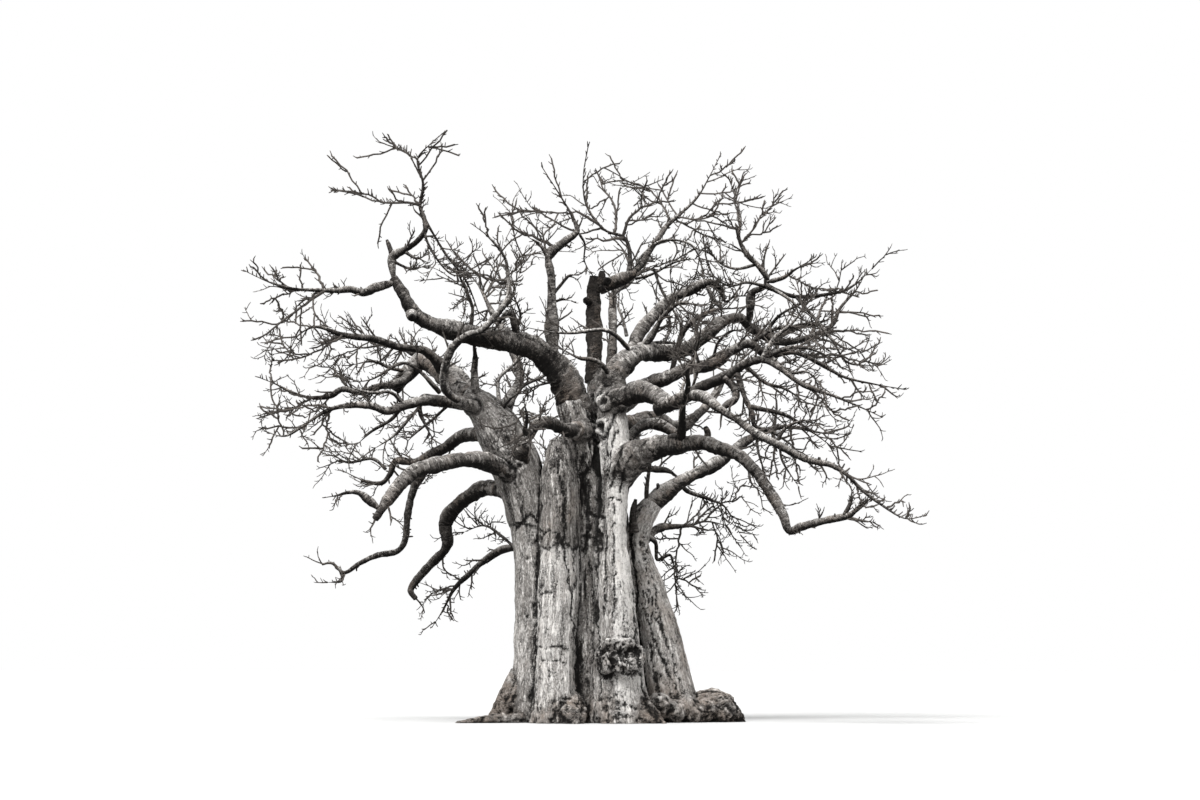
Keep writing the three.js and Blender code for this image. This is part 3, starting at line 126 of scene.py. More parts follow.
# Each bough: what carries it, its root and tip radius, its route as across, height and depth, and the mass of twigs
# past its tip: the stem's further route, the arms that leave it, how far twigs spread, how they turn up, and a seed.
# The rest is for looks. slim: its bark's width against the round solid's at root and tip, so that its knots stay
# within. shade: how much paler it is. collar: its collar's width at the root against its own, where it leaves the
# trunk without a swelling. sparse: the share of shoots that it bears. shaggy: how many times the usual spurs. full:
# how thickly a mass's twigs stand. shorter: its side twigs' share of their usual length.
BOUGHS = [
    dict(name="high_left_bough", after="trunk", start="centre", radius=[0.47, 0.16], slim=(1.0, 0.8), sparse=0.5,
         route="-.86 9.89 -.6, -1.43 10.46 -.8, -2.14 10.77 -1, -3.1 10.92 -1.2, -4.57 11.3 -1.5,"
               "-5.12 11.7 -1.6, -5.43 12.26 -1.7, -5.66 12.62 -1.7"),
    dict(name="far_left_bough", on="high_left_bough", radius=[0.14, 0.1], slim=(0.84, 0.86), shade=0.12,
         route="-5.6 12.5 -1.7, -6.14 12.35 -1.9, -6.5 12.2 -2, -6.9 12.3 -2.1, -7.29 12.26 -2.2",
         mass=dict(name="far_left_twigs", seed=11, spread=1.15, lift=0.06, full=0.3, shorter=0.8,
             stem="-7.8 12.27 -2.3, -8.5 12.3 -2.4, -9.2 12.49 -2.5, -9.94 12.83 -2.5",
             arms=["-7.6 12.25 -2.3, -8.14 11.89 -2.6, -8.71 11.46 -2.8, -9.6 10.8 -2.9",
                   "-8.3 12.28 -2.4, -9 12.06 -2.1, -9.4 11.86 -2",
                   "-7.65 12.25 -2.3, -7.86 12.77 -2.2, -8.2 13.2 -2.2"])),
    dict(name="top_left_bough", on="high_left_bough", radius=[0.14, 0.085], slim=(0.76, 0.8), shade=0.12,
         shaggy=2.5,
         route="-5.64 12.56 -1.7, -5.69 13.2 -1.7, -5.37 13.42 -1.8, -5 13.69 -1.9, -4.74 14.06 -2, -4.8 14.4 -2",
         mass=dict(name="top_left_twigs", seed=23, spread=1.7, lift=0.1, full=0.1, shorter=0.62, shaggy=2,
             stem="-4.91 14.75 -2, -4.83 15.4 -2.05, -5 16.1 -2.1, -4.63 16.57 -2.2, -4.2 16.95 -2.2",
             arms=["-4.91 14.75 -2, -5.34 14.86 -2.2, -5.9 14.8 -2.3, -6.57 15.11 -2.4, -7.43 15.2 -2.4",
                   "-5 16.08 -2.1, -5.54 16.43 -2, -5.97 16.8 -1.9"])),
    dict(name="left_fork_bough", on="trunk", radius=[0.3, 0.19],
         route="-3.1 8.9 -.3, -3.5 9.15 -.1, -3.86 9.4 .1, -4.29 9.89 .5, -4.74 10.2 .8, -5.03 10.03 .9,"
               "-5.6 9.43 1.1"),
    dict(name="left_arch_bough", on="left_fork_bough", radius=[0.16, 0.08],
         route="-4.25 9.8 .4, -4.3 10.1 0, -4.71 10.49 -.3, -5.14 10.57 -.4, -5.57 10.63 -.5, -6.14 10.83 -.7,"
               "-6.71 10.91 -.9",
         mass=dict(name="left_arch_twigs", seed=31, spread=1.25, lift=0.03, full=0.6, shorter=0.8,
             stem="-7.2 11 -1, -7.86 11.2 -1.1, -8.37 10.94 -1.2, -8.6 10.5 -1.3",
             arms=["-7.1 10.97 -1, -7.6 10.6 -1.4, -8.3 10.3 -1.6, -8.9 10.2 -1.7"])),
    dict(name="left_lower_bough", on="trunk", radius=[0.18, 0.08], shade=0.1,
         route="-3.2 8.95 -.4, -4.14 9.03 -.9, -4.71 9.06 -1.3, -5.29 8.94 -1.6, -5.77 8.77 -1.9,"
               "-6.23 8.91 -2.1, -6.8 8.94 -2.4",
         mass=dict(name="left_lower_twigs", seed=43, spread=1.2, lift=-0.02, full=0.5, shorter=0.55,
             stem="-7.5 8.78 -2.6, -8.17 8.35 -2.8, -8.7 8.05 -2.9, -9.3 8.2 -3",
             arms=["-7.3 8.85 -2.55, -7.9 8.95 -2.9, -8.7 8.8 -3.2, -9.4 8.9 -3.4",
                   "-7.4 8.8 -2.6, -7.5 8.2 -2.5, -7.1 7.75 -2.4"])),
    dict(name="left_middle_bough", on="left_fork_bough", radius=[0.13, 0.075],
         route="-5 10.05 .9, -5.43 9.6 .45, -6 9.49 .3, -6.57 9.31 .2, -7.06 9.4 .1, -7.43 9.2 .1",
         mass=dict(name="left_middle_twigs", seed=57, spread=1.2, lift=0.05, full=0.3, shorter=0.55,
             stem="-7.95 9.15 .1, -8.5 9.3 .1, -9 9.55 .1, -9.5 9.75 0",
             arms=["-7.95 9.15 .1, -8.4 8.9 .4, -9.2 8.7 .6"])),
    dict(name="left_back_bough", on="trunk", radius=[0.2, 0.09],
         route="-2.7 8.5 0, -2.9 8.9 .8, -3.4 9.5 1.7, -4.1 10.1 2.8, -4.9 10.4 3.9, -5.4 10.6 4.9",
         mass=dict(name="left_back_twigs", seed=61, spread=1.5, lift=0.05, full=0.45,
             stem="-5.8 10.7 5.6, -6.4 10.6 6.5, -7 10.6 7.4",
             arms=["-5.9 10.68 5.75, -6.9 10.9 5.9, -7.7 10.7 6.2"])),
    dict(name="low_left_bough", on="trunk", radius=[0.29, 0.13], slim=(0.9, 0.9), shade=-0.05, collar=0.7,
         sparse=0.4,
         route="-2.3 7 -.8, -3 7.33 -1.3, -3.71 7.37 -1.8, -4.43 7.2 -2.2, -5 7.03 -2.5, -5.43 6.63 -2.8,"
               "-5.77 6.17 -3, -6.09 5.68 -3.1"),
    dict(name="low_left_spur", on="low_left_bough", fused=True, radius=[0.11, 0.07],
         route="-5.95 5.95 -3.05, -6.37 6.3 -3.1, -6.6 6.43 -3.1",
         mass=dict(name="low_left_twigs", seed=71, spread=0.45, lift=0.02, full=0.6,
             stem="-6.9 6.43 -3.15, -7.2 6.35 -3.2, -7.5 6.3 -3.2")),
    dict(name="low_back_left_bough", on="trunk", radius=[0.21, 0.05], collar=0.95,
         route="-2.7 7.9 .1, -3.29 8.09 .7, -3.71 8 1.1, -4.06 7.77 1.4, -4.43 7.57 1.6, -4.91 7.31 1.9,"
               "-5.5 7.34 2.1, -5.69 6.95 2.2, -5.95 6.7 2.3, -6.5 6.78 2.4"),
    dict(name="hanging_left_bough", on="low_back_left_bough", radius=[0.14, 0.045], sparse=0.12,
         route="-4.45 7.57 1.6, -4.75 7.1 1.75, -5 6.54 1.8, -5.17 5.83 1.8, -5.23 5.11 1.8, -5.45 4.77 1.8,"
               "-6 4.66 1.9, -6.51 4.43 2, -6.94 4.17 2.1, -7.29 4.43 2.1, -7.57 4.4 2.1"),
    dict(name="hook_bough", on="trunk", radius=[0.27, 0.07], shade=-0.1, collar=0.95, sparse=0.2,
         route="-2.1 6.4 0, -2.91 6.57 .6, -3.43 6.34 1, -3.86 5.97 1.3, -4.09 5.54 1.5, -4.06 4.95 1.6,"
               "-4.43 4.46 1.8, -4.91 3.94 1.9, -5.06 3.66 1.9, -4.91 3.43 1.9"),
    dict(name="drooping_left_bough", on="trunk", radius=[0.12, 0.07], collar=1.0,
         route="-1.7 4.85 .1, -2.43 4.83 .9, -3 4.49 1.4, -3.43 4.11 1.8, -3.71 3.86 2.1",
         mass=dict(name="drooping_left_twigs", seed=83, spread=0.8, lift=-0.08, full=0.8,
             stem="-3.9 3.6 2.2, -4.15 3.1 2.3, -4.45 2.63 2.4",
             arms=["-3.85 3.67 2.2, -4.2 3.7 2.5, -4.63 3.46 2.7"])),
    dict(name="front_left_bough", on="trunk", radius=[0.24, 0.1], shade=-0.1,
         route="-.1 8.2 -.7, -.71 8.23 -1.6, -1.14 8.43 -2.3, -1.51 8.4 -3.1, -1.72 8.15 -3.7",
         mass=dict(name="front_left_twigs", seed=97, spread=0.95, lift=0.08, full=0.8,
             stem="-1.85 8.2 -4.3, -1.8 8.6 -5.1, -1.9 9.1 -5.9")),
    dict(name="light_post_bough", on="high_left_bough", radius=[0.18, 0.11], shade=0.08, sparse=0.3,
         route="-1.06 10.15 -.68, -1.09 10.97 -.5, -1.11 11.83 -.4, -1.11 12.54 -.3, -1.2 13.35 -.2",
         mass=dict(name="light_post_twigs", seed=101, spread=1.75, lift=0.06, full=0.1, shorter=0.85,
             stem="-.85 13.6 -.2, -.4 13.95 -.2, -.5 14.4 -.2, -.9 15.1 -.2, -1.4 15.9 -.3",
             arms=["-.55 14.5 -.2, -1.43 14.6 -.6, -2.43 14.54 -.9",
                   "-1 13.5 -.2, -1.6 13.8 .2, -2.1 14 .5, -2.6 14.5 .7"])),
    dict(name="centre_post_bough", on="trunk", radius=[0.23, 0.12], slim=(1.0, 0.55), shade=-0.12, sparse=0.2,
         route="-.1 7.7 -.2, .1 8.8 .1, .17 9.97 .4, .11 10.97 .5, .11 11.97 .6, .25 12.42 .6, .63 12.51 .6,"
               "1.05 12.65 .6, 1.15 13.2 .6",
         mass=dict(name="crown_centre_twigs", seed=113, spread=1.6, lift=0.06, full=0.26,
             stem="1 13.8 .6, .4 14.05 .6, -.1 14.75 .6, -.2 15.6 .6, -.05 16.55 .6",
             arms=[".95 13.85 .6, 1.15 14.4 .2, 1.7 14.8 0, 2.4 14.9 -.2",
                   ".7 13.95 .6, .75 14.6 .9, .4 15.2 1.1, .2 15.8 1.2"])),
    dict(name="crown_right_bough", on="centre_post_bough", radius=[0.12, 0.065],
         route=".85 12.58 .6, 1.4 12.95 .75, 1.65 13.31 .9, 1.91 13.69 1.2, 2.23 14.17 1.5",
         mass=dict(name="crown_right_twigs", seed=127, spread=1.6, lift=0.04, full=0.18,
             stem="2.6 14.5 1.6, 3.1 15 1.7, 3.45 15.6 1.8, 3.8 16.3 1.9",
             arms=["2.35 14.28 1.5, 2 14.9 1.9, 1.6 15.3 2.2, 1 15.5 2.4, .4 15.4 2.5",
                   "2.5 14.42 1.6, 3.14 14.34 1.3, 3.6 14.6 1, 3.9 15.3 .9",
                   "2.45 14.38 1.6, 3.2 13.95 2, 3.9 13.7 2.3"])),
    dict(name="left_cross_bough", on="trunk", radius=[0.15, 0.1], slim=(0.82, 0.85), shade=0.28,
         route="-3.05 8.85 -.4, -3.6 9 -1.1, -4.1 9.35 -1.5, -4.15 9.97 -1.75, -3.94 10.6 -1.95,"
               "-3.51 10.96 -2.1, -3.09 11.12 -2.1, -2.71 11.54 -2.1, -2.34 12.03 -2",
         mass=dict(name="inner_left_twigs", seed=131, spread=1.35, lift=0.06, full=0.11,
             stem="-2.36 12.5 -1.9, -2.45 13.2 -1.9, -2.9 13.8 -2, -3.4 14.2 -2.1",
             arms=["-2.36 12.5 -1.9, -3.2 12.7 -2.3, -3.85 13.3 -2.6"])),
    dict(name="right_arch_bough", on="trunk", radius=[0.4, 0.23], slim=(0.87, 0.82), sparse=0.3,
         route=".7 6.95 -1, 1.29 7.46 -1.4, 1.86 7.71 -1.7, 2.57 7.83 -2, 3.29 7.86 -2.3, 3.66 7.71 -2.5"),
    dict(name="right_arch_arm", after="right_arch_bough", radius=[0.225, 0.1], slim=(0.82, 0.87), shade=0.12,
         sparse=0.4,
         route="4.23 7.51 -2.7, 4.71 7.06 -2.9, 5.14 6.4 -3.1, 5.46 5.83 -3.2, 5.66 5.36 -3.3, 6 5.47 -3.4,"
               "6.63 5.63 -3.6, 7.29 5.77 -3.8",
         mass=dict(name="forearm_twigs", seed=139, spread=0.7, lift=0.12, full=1.0, shorter=0.4, shaggy=3,
             stem="7.5 5.9 -3.85, 7.7 6.1 -3.9, 8 6.2 -4")),
    dict(name="right_high_bough", on="trunk", radius=[0.34, 0.13], slim=(0.93, 0.85),
         route=".55 8.95 -.7, .63 9.69 -.6, 1 10.2 -.4, 1.49 10.49 -.1, 2.14 10.46 .3, 2.71 10.54 .6,"
               "3.23 10.91 .8, 3.77 11.34 1, 4.29 11.46 1.2, 4.65 11.15 1.3, 5.14 10.89 1.5, 5.71 10.77 1.7",
         mass=dict(name="right_high_twigs", seed=149, spread=1.6, lift=0.02, full=0.1, shorter=0.75,
             stem="6.4 10.95 1.8, 6.94 11.26 1.9, 7.2 11.77 1.9, 7.66 12.3 2, 7.94 12.8 2",
             arms=["6.5 11 1.8, 7.3 11.1 1.5, 7.9 10.95 1.4",
                   "6.3 10.93 1.8, 6.6 11.6 2.2, 6.9 12.3 2.5"])),
    dict(name="right_shoot_bough", on="right_high_bough", radius=[0.14, 0.08], slim=(0.78, 0.85), shade=0.25,
         shaggy=2,
         route="4.55 11.2 1.3, 4.6 11.77 1, 4.66 12.2 .8, 5 12.37 .6, 5.09 12.63 .5, 4.8 13.03 .4, 4.51 13.34 .4",
         mass=dict(name="right_shoot_twigs", seed=151, spread=1.25, lift=0.08, full=0.5, shorter=0.6, shaggy=3,
             stem="4.3 13.8 .4, 4.34 14.4 .4, 4.2 15 .4, 4 15.6 .4",
             arms=["4.35 13.68 .4, 4.8 14.2 .1, 5.06 14.86 0"])),
    dict(name="right_shoot_spur", on="right_shoot_bough", fused=True, radius=[0.07, 0.055],
         route="5.05 12.5 .55, 5.3 12.56 .3, 5.6 12.66 .1",
         mass=dict(name="right_spray_twigs", seed=233, spread=1.0, lift=0.05, full=0.2, shorter=0.6, shaggy=3,
             stem="5.86 12.85 0, 6.2 13.05 -.1, 6.5 13.25 -.2",
             arms=["5.7 12.72 .05, 6.3 12.4 -.2, 7 12.25 -.3, 7.7 12.1 -.4"])),
    dict(name="right_middle_bough", on="trunk", radius=[0.31, 0.24], slim=(1.0, 0.93), shade=-0.08,
         route=".55 8.9 -.8, 1.05 9.2 -1.4, 1.49 9.34 -1.8, 1.89 9.2 -2.3, 2.23 8.95 -2.7"),
    dict(name="right_middle_reach", after="right_middle_bough", radius=[0.23, 0.09], slim=(0.93, 0.8),
         route="2.6 9.1 -3, 3.14 9.46 -3.3, 3.94 9.8 -3.7, 4.43 10.11 -4, 4.91 10.26 -4.2, 5.37 10.06 -4.4",
         mass=dict(name="right_middle_twigs", seed=163, spread=1.0, lift=0.0, full=0.4,
             stem="6.09 9.54 -4.6, 7 9.2 -4.8, 7.86 8.83 -5, 8.34 8.6 -5.1",
             arms=["6.3 9.47 -4.65, 6.9 8.8 -4.5, 7.4 8.45 -4.4"])),
    dict(name="right_upper_bough", on="trunk", radius=[0.27, 0.12], slim=(0.92, 0.85),
         route=".75 8.9 -.5, 1.57 9.51 .1, 2.23 9.74 0, 2.8 10 -.2, 3.49 10.14 -.3, 4 10.49 -.3, 4.57 10.71 -.2,"
               "5.09 10.4 0",
         mass=dict(name="right_upper_twigs", seed=173, spread=1.1, lift=0.03, full=0.36,
             stem="5.86 10.46 .1, 6.57 10.15 .2, 7.29 9.75 .3, 8.14 9.55 .4, 9 9.4 .4",
             arms=["6.1 10.38 .1, 7 10.4 -.3, 7.8 10.2 -.5, 8.3 10.15 -.6"])),
    dict(name="long_right_bough", on="right_middle_reach", radius=[0.19, 0.075], slim=(0.8, 0.8), shade=0.12,
         shaggy=1.6,
         route="2.8 9.25 -3.1, 3.29 9.15 -3.6, 3.66 8.86 -3.9, 4.23 8.49 -4.2, 4.77 8.11 -4.5, 5.43 7.77 -4.8,"
               "6.14 7.4 -5.1, 6.86 7.23 -5.4, 7.29 6.97 -5.5",
         mass=dict(name="long_right_twigs", seed=181, spread=0.65, lift=0.04, full=0.35, shaggy=2,
             stem="7.71 6.54 -5.6, 8.29 6.09 -5.7, 8.94 5.71 -5.8, 9.57 5.8 -5.9")),
    dict(name="right_lean_bough", after="trunk", start="right", radius=[0.295, 0.13], slim=(0.9, 0.82),
         shade=0.08,
         route="2.43 6.66 .3, 3 6.97 .5, 3.66 7.29 .7, 4.29 7.8 .9, 4.77 8.09 1.1",
         mass=dict(name="right_lean_twigs", seed=191, spread=1.3, lift=-0.02, full=0.22,
             stem="5.3 8.3 1.3, 5.9 8.3 1.4, 6.6 8.15 1.5, 7.4 8.1 1.5",
             arms=["5.2 8.27 1.3, 5.25 7.5 1.5, 5.1 6.9 1.6",
                   "5.7 8.3 1.35, 5.85 7.4 1.1, 5.95 6.7 1"])),
    dict(name="back_right_bough", after="trunk", start="backRight", radius=[0.29, 0.1],
         route="1.75 8.55 2, 2.46 8.3 3, 3.1 8.7 4.2, 3.6 9.3 5.2",
         mass=dict(name="back_right_twigs", seed=193, spread=1.7, lift=0.04, full=0.45,
             stem="3.9 9.8 5.9, 4.3 10.2 6.8, 4.6 10.6 7.8",
             arms=["3.95 9.85 6, 4.9 10.3 6.1, 5.8 10.5 6"])),
    dict(name="back_left_bough", on="trunk", radius=[0.2, 0.09],
         route="-2.6 8.3 -.1, -2.3 9.1 1, -2 9.8 2.4, -2.4 10.9 4.2, -2.8 11.6 5.5",
         mass=dict(name="back_left_twigs", seed=199, spread=1.6, lift=0.05, full=0.42,
             stem="-3 12 6.2, -3.2 12.4 6.9, -3.6 12.9 7.7",
             arms=["-3 12.05 6.25, -2.2 12.8 6.4, -1.6 13.4 6.3"])),
    dict(name="back_centre_bough", on="trunk", radius=[0.25, 0.1], slim=(0.9, 0.75),
         route="-.3 7.9 1.15, .35 8.9 1.8, .6 9.9 2.2, .65 11.2 2.8, .68 12.15 3.6, 1.1 12.45 4.6",
         mass=dict(name="back_centre_twigs", seed=211, spread=1.6, lift=0.06, full=0.22,
             stem="1.3 12.7 5.3, 1.5 13.1 6.2, 1.8 13.6 7.1",
             arms=["1.3 12.75 5.4, 2.3 13.1 5.4, 3 13.5 5.2"])),
    dict(name="low_back_bough", on="trunk", radius=[0.22, 0.09],
         route="-.6 6.1 1.3, -.9 6.8 2.8, -1 7 4.3, -1.1 7 5.5",
         mass=dict(name="low_back_twigs", seed=223, spread=1.2, lift=0.05, full=0.8,
             stem="-1.2 7.1 6.2, -1 7.3 7.1, -.9 7.3 7.9")),
    dict(name="front_riser_bough", on="right_arch_bough", radius=[0.12, 0.06],
         route="2.57 7.83 -2, 2.63 8.3 -2.5, 2.66 8.9 -3.2, 2.8 9.5 -4.1, 2.78 9.9 -4.8",
         mass=dict(name="front_riser_twigs", seed=227, spread=1.3, lift=0.05, full=0.7,
             stem="2.9 10.2 -5.5, 3.1 10.7 -6.3, 3.2 11.3 -7")),
    dict(name="inner_right_spur", on="trunk", fused=True, radius=[0.15, 0.08],
         route="1.3 5 .5, 1.95 5.42 1.1, 2.35 5.48 1.5",
         mass=dict(name="inner_right_twigs", seed=229, spread=1.1, lift=-0.03, full=0.9,
             stem="2.8 5.5 1.8, 3.3 5.62 2.1, 3.9 5.5 2.4",
             arms=["2.6 5.5 1.7, 2.5 4.9 1.9, 2.4 4.2 2, 2.45 3.65 2.1",
                   "3.2 5.6 2.05, 3.7 6.1 1.9, 3.9 6.4 1.8"])),
]

